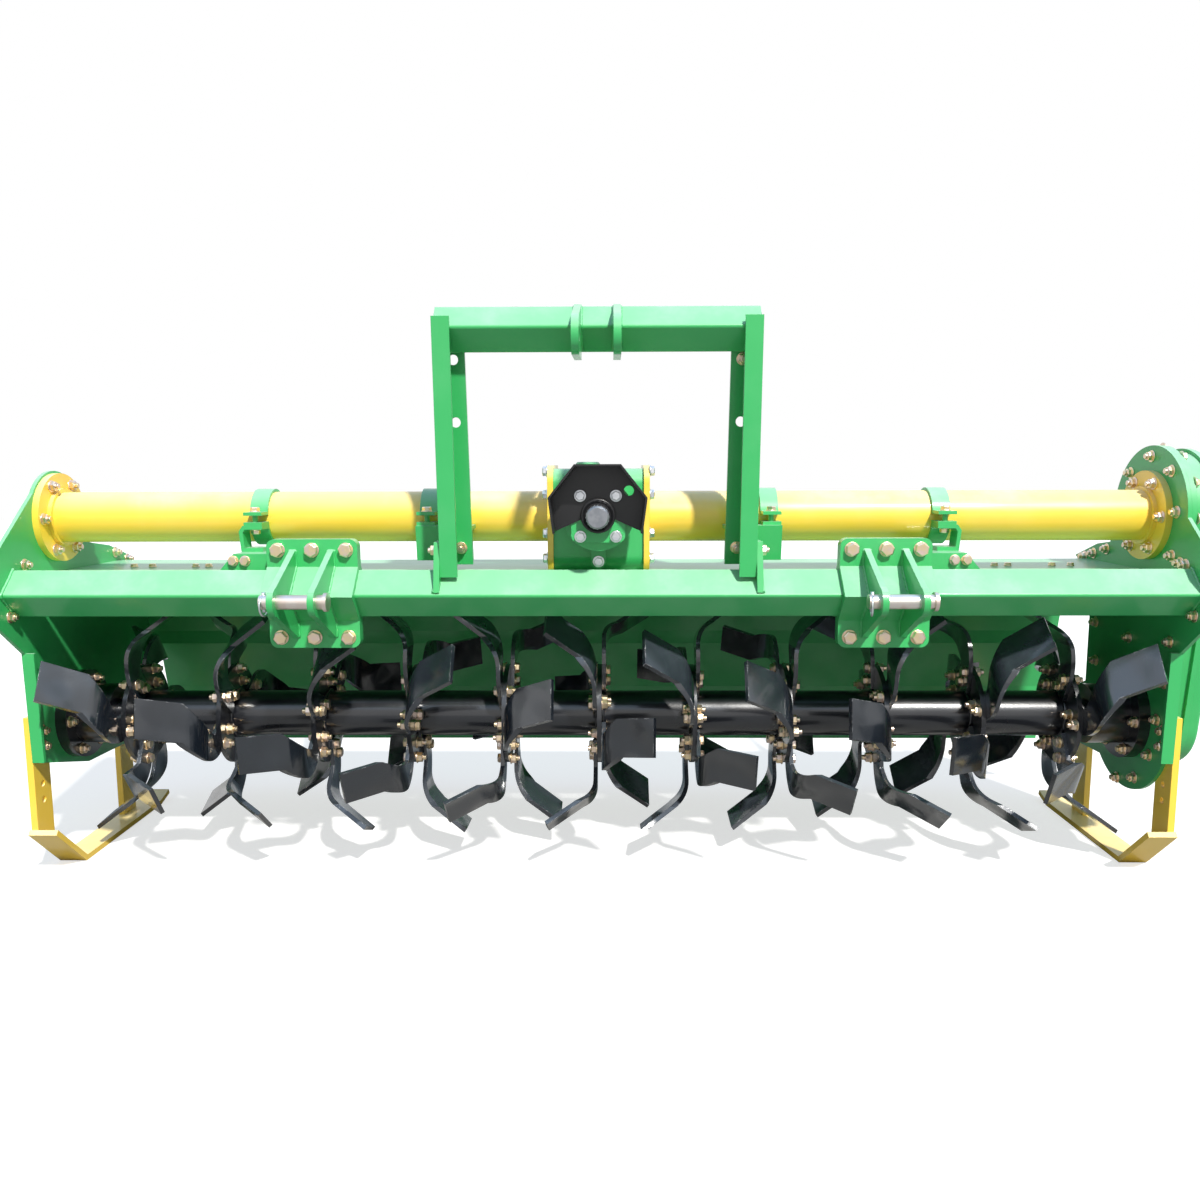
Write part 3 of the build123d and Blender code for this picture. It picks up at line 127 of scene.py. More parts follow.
@dataclass
class Graph:
    """Small helper that adds nodes and links to one node tree."""

    tree: bpy.types.NodeTree

    def add(self, kind: str, **settings: object) -> Node:
        """Add a node and set its attributes.

        Args:
            kind: The node's type name.
            **settings: Attributes of the node.

        Returns:
            The new node.
        """
        node = self.tree.nodes.new(kind)
        for key, value in settings.items():
            setattr(node, key, value)
        return node

    def link(self, source: Socket, target: Socket) -> None:
        """Link an output socket to an input socket."""
        self.tree.links.new(source, target)

    def feed(self, value: object, target: Socket) -> None:
        """Link a socket to an input, or set the input to a number or a colour.

        Args:
            value: Output socket, number or colour.
            target: Input socket.
        """
        if isinstance(value, Socket):
            self.link(value, target)
        else:
            target.default_value = (*value, 1.0) if isinstance(value, tuple) else value

    def group(self, tree: bpy.types.NodeTree, **values: object) -> Node:
        """Add a shared group with this material's own values.

        Args:
            tree: The group.
            **values: Values of the group's inputs.

        Returns:
            The group node.
        """
        node = self.add("ShaderNodeGroup", node_tree=tree)
        for name, value in values.items():
            self.feed(value, node.inputs[name])
        return node

    def math(self, operation: str, a: object, b: object, clamp: bool = False) -> Socket:
        """Add a math node.

        Args:
            operation: Blender's operation name.
            a: First value or socket.
            b: Second value or socket.
            clamp: Whether the result stays between 0 and 1.

        Returns:
            The result socket.
        """
        node = self.add("ShaderNodeMath", operation=operation, use_clamp=clamp)
        self.feed(a, node.inputs[0])
        self.feed(b, node.inputs[1])
        return node.outputs[0]

    def mix(self, factor: Socket, a: object, b: object) -> Socket:
        """Mix two colours.

        Args:
            factor: Mix factor.
            a: First colour, tuple or socket.
            b: Second colour, tuple or socket.

        Returns:
            The colour socket.
        """
        node = self.add("ShaderNodeMix", data_type="RGBA")
        for name, value in (("Factor_Float", factor), ("A_Color", a), ("B_Color", b)):
            self.feed(value, next(s for s in node.inputs if s.identifier == name))
        return next(s for s in node.outputs if s.identifier == "Result_Color")

    def noise(self, scale: object, detail: float, roughness: float = 0.5) -> Socket:
        """Add a noise texture in the object's own coordinates.

        Args:
            scale: Noise scale, number or socket.
            detail: Noise detail.
            roughness: Noise roughness.

        Returns:
            The noise value socket.
        """
        coords = self.add("ShaderNodeTexCoord")
        node = self.add("ShaderNodeTexNoise")
        node.inputs["Detail"].default_value = detail
        node.inputs["Roughness"].default_value = roughness
        self.feed(scale, node.inputs["Scale"])
        self.link(coords.outputs["Object"], node.inputs["Vector"])
        return node.outputs["Fac"]

    def ramp(self, value: Socket, low: float, high: float) -> Socket:
        """Map a value smoothly to 0 and 1 between two limits.

        Args:
            value: Input socket.
            low: Value that becomes 0.
            high: Value that becomes 1.

        Returns:
            The mapped value socket.
        """
        node = self.add("ShaderNodeMapRange", interpolation_type="SMOOTHSTEP")
        node.inputs["From Min"].default_value = low
        node.inputs["From Max"].default_value = high
        self.link(value, node.inputs["Value"])
        return node.outputs["Result"]

    def bump(self, height: Socket, normal: Socket, distance: float, strength: float = 1.0) -> Socket:
        """Bend a normal by a height.

        Args:
            height: Height socket.
            normal: Normal that is bent.
            distance: Height of a full step, in metres.
            strength: Strength of the effect.

        Returns:
            The new normal socket.
        """
        node = self.add("ShaderNodeBump")
        node.inputs["Strength"].default_value = strength
        node.inputs["Distance"].default_value = distance
        self.link(height, node.inputs["Height"])
        self.link(normal, node.inputs["Normal"])
        return node.outputs["Normal"]


def new_group(
    name: str, inputs: Sequence[tuple[str, str, object]], outputs: Sequence[tuple[str, str]]
) -> tuple[Graph, Node, Node]:
    """Start a shader node group with its sockets.

    Args:
        name: Group name.
        inputs: Name, socket type and default value of each input.
        outputs: Name and socket type of each output.

    Returns:
        The group's graph, its input node and its output node.
    """
    tree = bpy.data.node_groups.new(name, "ShaderNodeTree")
    for label, kind, default in inputs:
        socket = tree.interface.new_socket(label, in_out="INPUT", socket_type=kind)
        socket.default_value = default
    for label, kind in outputs:
        tree.interface.new_socket(label, in_out="OUTPUT", socket_type=kind)
    graph = Graph(tree)
    return graph, graph.add("NodeGroupInput"), graph.add("NodeGroupOutput")


def new_material(name: str) -> tuple[bpy.types.Material, Graph, Node]:
    """Start a material.

    Args:
        name: Material name.

    Returns:
        The material, its graph and its shader node.
    """
    material = bpy.data.materials.new(name)
    material.use_nodes = True
    graph = Graph(material.node_tree)
    return material, graph, graph.tree.nodes["Principled BSDF"]


@dataclass
class SharedEffects:
    """Shader node groups that several finishes share, each built once."""

    edges: bpy.types.NodeTree = field(init=False)
    dust: bpy.types.NodeTree = field(init=False)
    grain: bpy.types.NodeTree = field(init=False)
    tone: bpy.types.NodeTree = field(init=False)
    chip_scale: float = 46.0
    chip_limits: tuple[float, float] = (0.52, 0.66)
    bend_limits: tuple[float, float] = (0.02, 0.12)
    upward_limits: tuple[float, float] = (0.1, 0.95)
    patch_limits: tuple[float, float] = (0.42, 0.75)
    dust_on_walls: float = 0.25
    fine_share: float = 0.25
    tone_scale: float = 3.1

    def __post_init__(self) -> None:
        """Build every group."""
        self.edges = self.build_edges()
        self.dust = self.build_dust_and_sheen()
        self.grain = self.build_grain()
        self.tone = self.build_tone()
        LOG.info("shared shader groups: edges, dust, grain, tone")

    def build_edges(self) -> bpy.types.NodeTree:
        """Softened edges and the mask of worn ones.

        Returns:
            The node group.
        """
        graph, start, end = new_group(
            "tiller_edges",
            [("Radius", FLOAT, 0.0012), ("Amount", FLOAT, 0.5)],
            [("Normal", VECTOR), ("Wear", FLOAT)],
        )
        bevel = graph.add("ShaderNodeBevel", samples=3)
        graph.link(start.outputs["Radius"], bevel.inputs["Radius"])
        geometry = graph.add("ShaderNodeNewGeometry")
        dot = graph.add("ShaderNodeVectorMath", operation="DOT_PRODUCT")
        graph.link(bevel.outputs["Normal"], dot.inputs[0])
        graph.link(geometry.outputs["Normal"], dot.inputs[1])
        bend = graph.math("SUBTRACT", 1.0, dot.outputs["Value"])
        chips = graph.ramp(graph.noise(self.chip_scale, 6.0), *self.chip_limits)
        sharp = graph.ramp(bend, *self.bend_limits)
        chipped = graph.math("MULTIPLY", chips, sharp)
        wear = graph.math("MULTIPLY", chipped, start.outputs["Amount"], clamp=True)
        graph.link(bevel.outputs["Normal"], end.inputs["Normal"])
        graph.link(wear, end.inputs["Wear"])
        return graph.tree

    def build_dust_and_sheen(self) -> bpy.types.NodeTree:
        """Dust in patches that lies mostly on faces that look up, and a painted sheen that lightens faces that
        look up.

        Returns:
            The node group.
        """
        graph, start, end = new_group(
            "tiller_dust_and_sheen",
            [("Amount", FLOAT, 0.3), ("Film", FLOAT, 0.1), ("Scale", FLOAT, 7.0)],
            [("Mask", FLOAT)],
        )
        geometry = graph.add("ShaderNodeNewGeometry")
        parts = graph.add("ShaderNodeSeparateXYZ")
        graph.link(geometry.outputs["Normal"], parts.inputs[0])
        upward = graph.ramp(parts.outputs["Z"], *self.upward_limits)
        cloud = graph.noise(start.outputs["Scale"], 8.0, roughness=0.65)
        patches = graph.ramp(cloud, *self.patch_limits)
        lying = graph.math("ADD", graph.math("MULTIPLY", upward, 1.0 - self.dust_on_walls), self.dust_on_walls)
        loose = graph.math("MULTIPLY", graph.math("MULTIPLY", patches, lying), start.outputs["Amount"])
        uneven = graph.math("ADD", graph.math("MULTIPLY", cloud, 0.8), 0.6)
        # Painted sheen: faces that look up are lightened towards the finish's pale colour. This stands in for
        # sun and sky light on the tops and is not dust.
        painted_sheen = graph.math("MULTIPLY", graph.math("MULTIPLY", upward, uneven), start.outputs["Film"])
        # The output mask adds the real dust patches and the painted sheen together.
        graph.link(graph.math("ADD", loose, painted_sheen, clamp=True), end.inputs["Mask"])
        return graph.tree

    def build_grain(self) -> bpy.types.NodeTree:
        """Fine orange peel of sprayed paint or rolled steel, as a height.

        Returns:
            The node group.
        """
        graph, start, end = new_group(
            "tiller_grain",
            [("Scale", FLOAT, 260.0), ("Waves", FLOAT, 9.0)],
            [("Height", FLOAT), ("Smudge", FLOAT)],
        )
        peel = graph.noise(start.outputs["Scale"], 2.0)
        waves = graph.noise(start.outputs["Waves"], 4.0)
        fine = graph.math("MULTIPLY", peel, self.fine_share)
        graph.link(graph.math("ADD", fine, waves), end.inputs["Height"])
        graph.link(waves, end.inputs["Smudge"])
        return graph.tree

    def build_tone(self) -> bpy.types.NodeTree:
        """Slow change of a colour's value from place to place.

        Returns:
            The node group.
        """
        graph, start, end = new_group(
            "tiller_tone",
            [("Color", COLOR, (0.5, 0.5, 0.5, 1.0)), ("Spread", FLOAT, 0.12)],
            [("Color", COLOR)],
        )
        centred = graph.math("SUBTRACT", graph.noise(self.tone_scale, 5.0), 0.5)
        gain = graph.math("ADD", graph.math("MULTIPLY", centred, start.outputs["Spread"]), 1.0)
        scale = graph.add("ShaderNodeVectorMath", operation="SCALE")
        graph.link(start.outputs["Color"], scale.inputs[0])
        graph.link(gain, scale.inputs["Scale"])
        graph.link(scale.outputs["Vector"], end.inputs["Color"])
        return graph.tree


# Finishes

@dataclass(frozen=True)
class PaintFinish:
    """Gloss paint on steel with softened, slightly worn edges, thin dust and a painted sheen that lightens
    faces that look up.
    """

    name: str
    color: Color
    under: Color = (0.10, 0.09, 0.08)
    # Colour of the dust and also of the painted sheen on faces that look up.
    dust_and_sheen_color: Color = (0.42, 0.36, 0.28)
    roughness: float = 0.34
    coat: float = 0.35
    coat_roughness: float = 0.12
    coat_ior: float = 1.5
    specular: float = 0.5
    wear: float = 0.35
    dust: float = 0.16
    # Amount of painted sheen: faces that look up are mixed towards the pale colour as painted light.
    painted_sheen: float = 0.0
    smudge: float = 0.22
    chalk: float = 0.5
    edge_radius: float = 0.0012
    bump: float = 0.05
    peel_depth: float = 0.002
    sway: float = 0.001
    sway_scale: float = 13.0

    def build(self, effects: SharedEffects) -> bpy.types.Material:
        """Make the material.

        Args:
            effects: The shared node groups.

        Returns:
            The new material.
        """
        material, graph, shader = new_material(self.name)
        shader.inputs["Coat Weight"].default_value = self.coat
        shader.inputs["Coat Roughness"].default_value = self.coat_roughness
        shader.inputs["Coat IOR"].default_value = self.coat_ior
        shader.inputs["Specular IOR Level"].default_value = self.specular
        edges = graph.group(effects.edges, Radius=self.edge_radius, Amount=self.wear)
        dust = graph.group(effects.dust, Amount=self.dust, Film=self.painted_sheen)
        grain = graph.group(effects.grain)
        tone = graph.group(effects.tone, Color=self.color)
        painted = graph.mix(edges.outputs["Wear"], tone.outputs["Color"], self.under)
        # The base colour is mixed towards the pale colour by the real dust patches and by the painted sheen on
        # faces that look up.
        dust_and_sheen_colored = graph.mix(dust.outputs["Mask"], painted, self.dust_and_sheen_color)
        graph.link(dust_and_sheen_colored, shader.inputs["Base Color"])
        smudged = graph.math("MULTIPLY", graph.math("SUBTRACT", grain.outputs["Smudge"], 0.5), self.smudge)
        chalky = graph.math("MULTIPLY", dust.outputs["Mask"], self.chalk)
        rough = graph.math("ADD", graph.math("ADD", smudged, self.roughness), chalky, clamp=True)
        graph.link(rough, shader.inputs["Roughness"])
        swayed = graph.bump(graph.noise(self.sway_scale, 0.0), edges.outputs["Normal"], self.sway)
        peeled = graph.bump(grain.outputs["Height"], swayed, self.peel_depth, self.bump)
        graph.link(peeled, shader.inputs["Normal"])
        return material


@dataclass(frozen=True)
class PlatedFinish:
    """Zinc plated or bright metal with a patchy tint."""

    name: str
    color: Color
    tint: Color
    roughness: float = 0.3
    spread: float = 0.3
    patch_scale: float = 60.0
    patch_limits: tuple[float, float] = (0.38, 0.64)
    patch_roughness: float = 0.3
    edge_radius: float = 0.0005
    grain_scale: float = 900.0
    grain_depth: float = 0.001
    bump: float = 0.08

    def build(self, effects: SharedEffects) -> bpy.types.Material:
        """Make the material.

        Args:
            effects: The shared node groups.

        Returns:
            The new material.
        """
        material, graph, shader = new_material(self.name)
        shader.inputs["Metallic"].default_value = 1.0
        cloud = graph.noise(self.patch_scale, 4.0)
        patches = graph.ramp(cloud, *self.patch_limits)
        tone = graph.group(effects.tone, Color=self.color, Spread=self.spread)
        graph.link(graph.mix(patches, tone.outputs["Color"], self.tint), shader.inputs["Base Color"])
        patchy = graph.math("MULTIPLY", cloud, self.patch_roughness)
        rough = graph.math("ADD", patchy, self.roughness - 0.12, clamp=True)
        graph.link(rough, shader.inputs["Roughness"])
        grain = graph.group(effects.grain, Scale=self.grain_scale)
        edges = graph.group(effects.edges, Radius=self.edge_radius)
        normal = graph.bump(grain.outputs["Height"], edges.outputs["Normal"], self.grain_depth, self.bump)
        graph.link(normal, shader.inputs["Normal"])
        return material


Finish = PaintFinish | PlatedFinish

# The pale mint dust colour and the sheen amount are a painted highlight that makes the green tops pale as if
# sunlit. The same colour also serves the real dust patches.
GREEN_PAINT = PaintFinish(
    "green_paint", (0.034, 0.44, 0.115), dust_and_sheen_color=(0.70, 0.86, 0.80), roughness=0.42, coat=0.45,
    specular=0.6, dust=0.12, painted_sheen=0.34,
)
# The near-white cream dust colour and the sheen amount are a painted highlight on the yellow tops. The same
# colour also serves the real dust patches.
YELLOW_PAINT = PaintFinish(
    "yellow_paint", (0.98, 0.66, 0.060), under=(0.40, 0.27, 0.14), dust_and_sheen_color=(0.98, 0.93, 0.78),
    roughness=0.38, coat=0.5, specular=0.7, wear=0.3, painted_sheen=0.34,
)
BLACK_PAINT = PaintFinish(
    "black_paint", (0.005, 0.006, 0.009), under=(0.12, 0.12, 0.13), dust_and_sheen_color=(0.34, 0.34, 0.34),
    roughness=0.30, coat=0.8, wear=0.5, dust=0.05, bump=0.30,
)
# The bluish dust colour and the sheen amount are a painted sky reflection on the blades' faces that look up.
# The same colour also serves the real dust patches.
BLADE_PAINT = PaintFinish(
    "blade_paint", (0.006, 0.009, 0.014), under=(0.36, 0.37, 0.39), dust_and_sheen_color=(0.36, 0.42, 0.50),
    roughness=0.20, coat=1.0, coat_ior=1.6, wear=1.0, dust=0.10, painted_sheen=0.10, edge_radius=0.003, bump=0.40,
    sway=0.025,
)
GUARD_PLASTIC = PaintFinish(
    "guard_plastic", (0.009, 0.009, 0.010), under=(0.06, 0.06, 0.06), dust_and_sheen_color=(0.24, 0.23, 0.22),
    roughness=0.36, coat=0.2, specular=0.4, wear=0.4, dust=0.10, bump=0.12,
)
GOLD_ZINC = PlatedFinish("gold_zinc", (0.90, 0.72, 0.45), (0.83, 0.66, 0.56), roughness=0.32)
WHITE_ZINC = PlatedFinish("white_zinc", (0.80, 0.81, 0.83), (0.66, 0.68, 0.71))
PIN_STEEL = PlatedFinish(
    "pin_steel", (0.86, 0.79, 0.72), (0.76, 0.62, 0.54), roughness=0.32, patch_scale=24.0,
)
SHAFT_STEEL = PlatedFinish("shaft_steel", (0.34, 0.35, 0.37), (0.25, 0.26, 0.28), roughness=0.42)


@dataclass
class FinishShop:
    """Builds each material once and hands it out."""

    effects: SharedEffects
    made: dict[str, bpy.types.Material] = field(default_factory=dict)

    def get(self, finish: Finish) -> bpy.types.Material:
        """Material of a finish.

        Args:
            finish: The finish wanted.

        Returns:
            Its material.
        """
        if finish.name not in self.made:
            self.made[finish.name] = finish.build(self.effects)
            LOG.info("material %s", finish.name)
        return self.made[finish.name]


# Mesh tools

def new_object(name: str, data: bpy.types.ID) -> bpy.types.Object:
    """Put a mesh, lamp or camera in the scene.

    Args:
        name: Object name.
        data: What it shows.

    Returns:
        The new object.
    """
    thing = bpy.data.objects.new(name, data)
    bpy.context.scene.collection.objects.link(thing)
    return thing


def facing(at: Vector, outward: Vector, spin: float = 0.0) -> Matrix:
    """Matrix whose local Z points outward at a place.

    Args:
        at: The place.
        outward: Direction of local Z.
        spin: Turn about local Z, in degrees.

    Returns:
        The matrix.
    """
    turn = outward.normalized().to_track_quat("Z", "Y").to_matrix().to_4x4()
    return Matrix.Translation(at) @ turn @ Matrix.Rotation(math.radians(spin), 4, "Z")


@dataclass
class MeshBuilder:
    """Collects turned and swept pieces, then makes one joined mesh of them. Sizes in metres."""

    vertices: list[Vector] = field(default_factory=list)
    faces: list[tuple[int, ...]] = field(default_factory=list)
    smooth: list[bool] = field(default_factory=list)

    def skin(self, start: int, rings: int, sides: int, smooth: bool = True, closed: bool = False) -> None:
        """Add the faces between rings of vertices, and both end faces of an open row of rings.

        Args:
            start: First vertex of the first ring.
            rings: Number of rings.
            sides: Vertices of each ring.
            smooth: Whether the faces between the rings are shaded smooth.
            closed: Whether the last ring joins the first.
        """
        for ring in range(rings if closed else rings - 1):
            low, high = start + ring * sides, start + (ring + 1) % rings * sides
            for step in range(sides):
                after = (step + 1) % sides
                self.faces.append((low + step, low + after, high + after, high + step))
                self.smooth.append(smooth)
        if not closed:
            last = start + (rings - 1) * sides
            self.faces.append(tuple(range(start + sides - 1, start - 1, -1)))
            self.faces.append(tuple(range(last, last + sides)))
            self.smooth.extend((False, False))

    def turned(
        self, profile: Sequence[tuple[float, float]], sides: int, place: Matrix, smooth: bool = True
    ) -> None:
        """Add a turned piece about local Z, closed at both ends.

        Args:
            profile: Radius and height of each ring.
            sides: Number of sides.
            place: Where the piece goes.
            smooth: Whether its faces are shaded smooth.
        """
        start = len(self.vertices)
        for radius, height in profile:
            for step in range(sides):
                angle = turn_part(step, sides)
                local = Vector((radius * math.cos(angle), radius * math.sin(angle), height))
                self.vertices.append(place @ local)
        self.skin(start, len(profile), sides, smooth)

    def swept(self, path: Sequence[Vector], radius: float, sides: int = 8, closed: bool = False) -> None:
        """Add a round wire along a path.

        Args:
            path: Places along the wire.
            radius: Wire radius.
            sides: Number of sides.
            closed: Whether the path joins its own start.
        """
        start = len(self.vertices)
        count = len(path)
        side = Vector((0.0, 0.0, 1.0))
        for index, point in enumerate(path):
            before = path[index - 1] if (closed or index > 0) else point
            after = path[(index + 1) % count] if (closed or index < count - 1) else point
            heading = (after - before).normalized()
            side = side - heading * side.dot(heading)
            if side.length < 1e-6:
                side = heading.orthogonal()
            side.normalize()
            across = heading.cross(side)
            for step in range(sides):
                angle = turn_part(step, sides)
                self.vertices.append(point + (side * math.cos(angle) + across * math.sin(angle)) * radius)
        self.skin(start, count, sides, closed=closed)

    def finish(self, name: str, body: Body, material: bpy.types.Material, slot: Slot) -> bpy.types.Object:
        """Make the joined object and let it ride on its body.

        Args:
            name: Object name.
            body: Body that carries it.
            material: Its material.
            slot: The record's material slot; not used.

        Returns:
            The new object.
        """
        mesh = bpy.data.meshes.new(name)
        mesh.from_pydata([tuple(v) for v in self.vertices], [], self.faces)
        mesh.polygons.foreach_set("use_smooth", self.smooth)
        mesh.materials.append(material)
        mesh.update()
        thing = new_object(name, mesh)
        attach(thing, body.value)
        LOG.info("piece %s: %d faces on %s", name, len(self.faces), body.value)
        return thing


# Fasteners

@dataclass(frozen=True)
class HexBolt:
    """Hex head or nut with its washer and thread end. Sizes in millimetres."""

    flats: float = 19.0
    head: float = 8.0
    washer: float = 13.0
    washer_height: float = 2.2
    stem: float = 0.0
    stem_radius: float = 6.0
    thread_pitch: float = 1.75
    washer_sides: int = 20
    stem_sides: int = 12

    def add(self, builder: MeshBuilder, at: Vector, outward: Vector, spin: float) -> None:
        """Put one fastener on a surface.

        Args:
            builder: Mesh that takes it.
            at: Place on the surface, row frame.
            outward: The surface's outward direction.
            spin: Turn of the hexagon, in degrees.
        """
        place = facing(at, outward, spin)
        corner = self.flats / math.sqrt(3.0) / MM_PER_M
        low = self.washer_height / MM_PER_M
        high = low + self.head / MM_PER_M
        rim = self.washer / MM_PER_M
        washer = [(rim * 0.96, -0.0004), (rim, low * 0.25), (rim, low * 0.8), (rim * 0.95, low)]
        builder.turned(washer, self.washer_sides, place)
        head = [
            (corner * 0.97, low - 0.0002), (corner, low + 0.0006),
            (corner, high - 0.0016), (corner * 0.86, high),
        ]
        builder.turned(head, 6, place, smooth=False)
        if self.stem > 0.0:
            self.add_stem(builder, place, high)

    def add_stem(self, builder: MeshBuilder, place: Matrix, base: float) -> None:
        """Add the threaded end that stands out of a nut.

        Args:
            builder: Mesh that takes it.
            place: The fastener's matrix.
            base: Height where the thread comes out, in metres.
        """
        radius = self.stem_radius / MM_PER_M
        turns = max(2, int(self.stem / self.thread_pitch))
        pitch = self.stem / MM_PER_M / turns
        profile = [(radius * 0.98, base - 0.001)]
        for turn in range(turns):
            height = base + turn * pitch
            profile.append((radius * 0.86, height + pitch * 0.15))
            profile.append((radius, height + pitch * 0.6))
        profile.append((radius * 0.8, base + self.stem / MM_PER_M))
        builder.turned(profile, self.stem_sides, place)


@dataclass
class FastenerSet:
    """Like fasteners on one body, joined into one piece."""

    name: str
    bolt: HexBolt
    seed: int
    body: Body = Body.FRAME
    finish: PlatedFinish = GOLD_ZINC
    places: list[tuple[Vector, Vector]] = field(default_factory=list)

    def put(self, x: float, y: float, z: float, outward: Place) -> None:
        """Note one fastener: its place in machine millimetres and the way its head faces."""
        self.places.append((row(x, y, z), Vector(outward)))

    def build(self, shop: FinishShop) -> None:
        """Make the joined fasteners.

        Args:
            shop: Source of materials.
        """
        rng = random.Random(self.seed)
        builder = MeshBuilder()
        for at, outward in self.places:
            self.bolt.add(builder, at, outward, rng.uniform(0.0, 60.0))
        builder.finish(self.name, self.body, shop.get(self.finish), Slot.STEEL)


# Sub-assemblies, with sizes in millimetres

@dataclass
class Rotor:
    """Fasteners of the rotor's blades and the welds of its discs."""

    axis_z: float = 320.0
    pitch: float = 205.0
    discs: int = 11
    disc_half: float = 5.0
    blade: float = 9.0
    tube_radius: float = 50.0
    first_angle: float = -25.0
    step_angle: float = 120.0 / 7.0
    lead: float = 30.0
    bolt_places: tuple[tuple[float, float], ...] = ((72.0, -9.0), (101.0, 8.0))
    weld: float = 4.2
    weld_out: float = 1.6
    weld_steps: int = 48

    def disc_places(self) -> list[float]:
        """X of each disc, from the left."""
        first = -self.pitch * (self.discs - 1) / 2.0
        return [first + self.pitch * index for index in range(self.discs)]

    def blade_angles(self, index: int, hand: int) -> list[float]:
        """Turns about X, in degrees, of a disc's blades of one hand (1 right, -1 left)."""
        phase = self.first_angle + self.step_angle * index + (60.0 if hand > 0 else 0.0)
        return [90.0 + phase + 120.0 * turn for turn in range(3)]

    def bolt_at(self, turn: float, radius: float, aside: float) -> tuple[float, float]:
        """Y and Z of a blade bolt.

        Args:
            turn: The blade's turn about X, in degrees.
            radius: Distance along the shank.
            aside: Distance across the shank.

        Returns:
            Y and Z.
        """
        lead, angle = math.radians(self.lead), math.radians(turn)
        y = -math.sin(lead) * radius - math.cos(lead) * aside
        z = math.cos(lead) * radius - math.sin(lead) * aside
        return (
            y * math.cos(angle) - z * math.sin(angle),
            y * math.sin(angle) + z * math.cos(angle) + self.axis_z,
        )

    def build(self, shop: FinishShop) -> None:
        """Make the rotor's small pieces.

        Args:
            shop: Source of materials.
        """
        heads = FastenerSet("blade_bolt_heads", HexBolt(), 11, Body.ROTOR)
        nuts = FastenerSet("blade_bolt_nuts", HexBolt(head=11.0, stem=7.0), 12, Body.ROTOR)
        for index, x in enumerate(self.disc_places()):
            for hand in (1, -1):
                for turn in self.blade_angles(index, hand):
                    for radius, aside in self.bolt_places:
                        y, z = self.bolt_at(turn, radius, aside)
                        heads.put(x + hand * (self.disc_half + self.blade), y, z, (hand, 0, 0))
                        nuts.put(x - hand * self.disc_half, y, z, (-hand, 0, 0))
        heads.build(shop)
        nuts.build(shop)
        self.build_welds(shop)

    def build_welds(self, shop: FinishShop) -> None:
        """Make the weld beads between the tube and each disc.

        Args:
            shop: Source of materials.
        """
        rng = random.Random(5)
        builder = MeshBuilder()
        places = self.disc_places()
        for x in places:
            for side in BOTH_SIDES:
                if (side < 0 and x == places[0]) or (side > 0 and x == places[-1]):
                    continue
                path = []
                for step in range(self.weld_steps):
                    angle = turn_part(step, self.weld_steps)
                    radius = self.tube_radius + self.weld_out + rng.uniform(-0.5, 0.5)
                    along = x + side * (self.disc_half + self.weld_out + rng.uniform(-0.4, 0.4))
                    path.append(row(along, radius * math.cos(angle), self.axis_z + radius * math.sin(angle)))
                builder.swept(path, self.weld / MM_PER_M, 6, closed=True)
        builder.finish("disc_welds", Body.ROTOR, shop.get(BLACK_PAINT), Slot.BLACK)


@dataclass
class Hitch:
    """Bolts and linch rings of the two lower hitch brackets."""

    half_x: float = 570.0
    beam_y: float = -206.0
    beam_z: float = 618.0
    plate: float = 12.3
    pitch: float = 68.0
    rise: float = 88.0
    pin_y: float = -342.0
    pin_half: float = 64.0
    ring_inset: float = 7.0
    ring_half: tuple[float, float, float] = (3.0, 17.0, 19.0)
    ring_steps: int = 28
    ring_wire: float = 2.2
    stalk_wire: float = 3.8
    stalk: tuple[float, ...] = (19.0, 8.0, -8.0, -19.0)

    def build(self, shop: FinishShop) -> None:
        """Make the brackets' small pieces.

        Args:
            shop: Source of materials.
        """
        heads = FastenerSet("bracket_bolts", HexBolt(flats=24.0, head=11.0, washer=15.0), 21)
        nuts = FastenerSet("bracket_nuts", HexBolt(flats=24.0, head=11.0, washer=15.0, stem=4.0), 22)
        for side in BOTH_SIDES:
            for step in (-1, 0, 1):
                for rise in BOTH_SIDES:
                    x = side * self.half_x + step * self.pitch
                    z = self.beam_z + rise * self.rise
                    heads.put(x, self.beam_y - self.plate, z, (0, -1, 0))
                    nuts.put(x, self.beam_y + self.plate, z, (0, 1, 0))
        heads.build(shop)
        nuts.build(shop)
        self.build_linch_rings(shop)

    def build_linch_rings(self, shop: FinishShop) -> None:
        """Make the spring rings that hold the pins, at the left end of each.

        Args:
            shop: Source of materials.
        """
        builder = MeshBuilder()
        for side in BOTH_SIDES:
            x = side * self.half_x - self.pin_half + self.ring_inset
            path = []
            for step in range(self.ring_steps):
                angle = turn_part(step, self.ring_steps)
                path.append(row(
                    x + self.ring_half[0] * math.sin(angle),
                    self.pin_y + self.ring_half[1] * math.sin(angle),
                    self.beam_z - self.ring_inset + self.ring_half[2] * math.cos(angle),
                ))
            builder.swept(path, self.ring_wire / MM_PER_M, 8, closed=True)
            stalk = [row(x, self.pin_y, self.beam_z + offset) for offset in self.stalk]
            builder.swept(stalk, self.stalk_wire / MM_PER_M, 10)
        builder.finish("linch_rings", Body.FRAME, shop.get(WHITE_ZINC), Slot.STEEL)


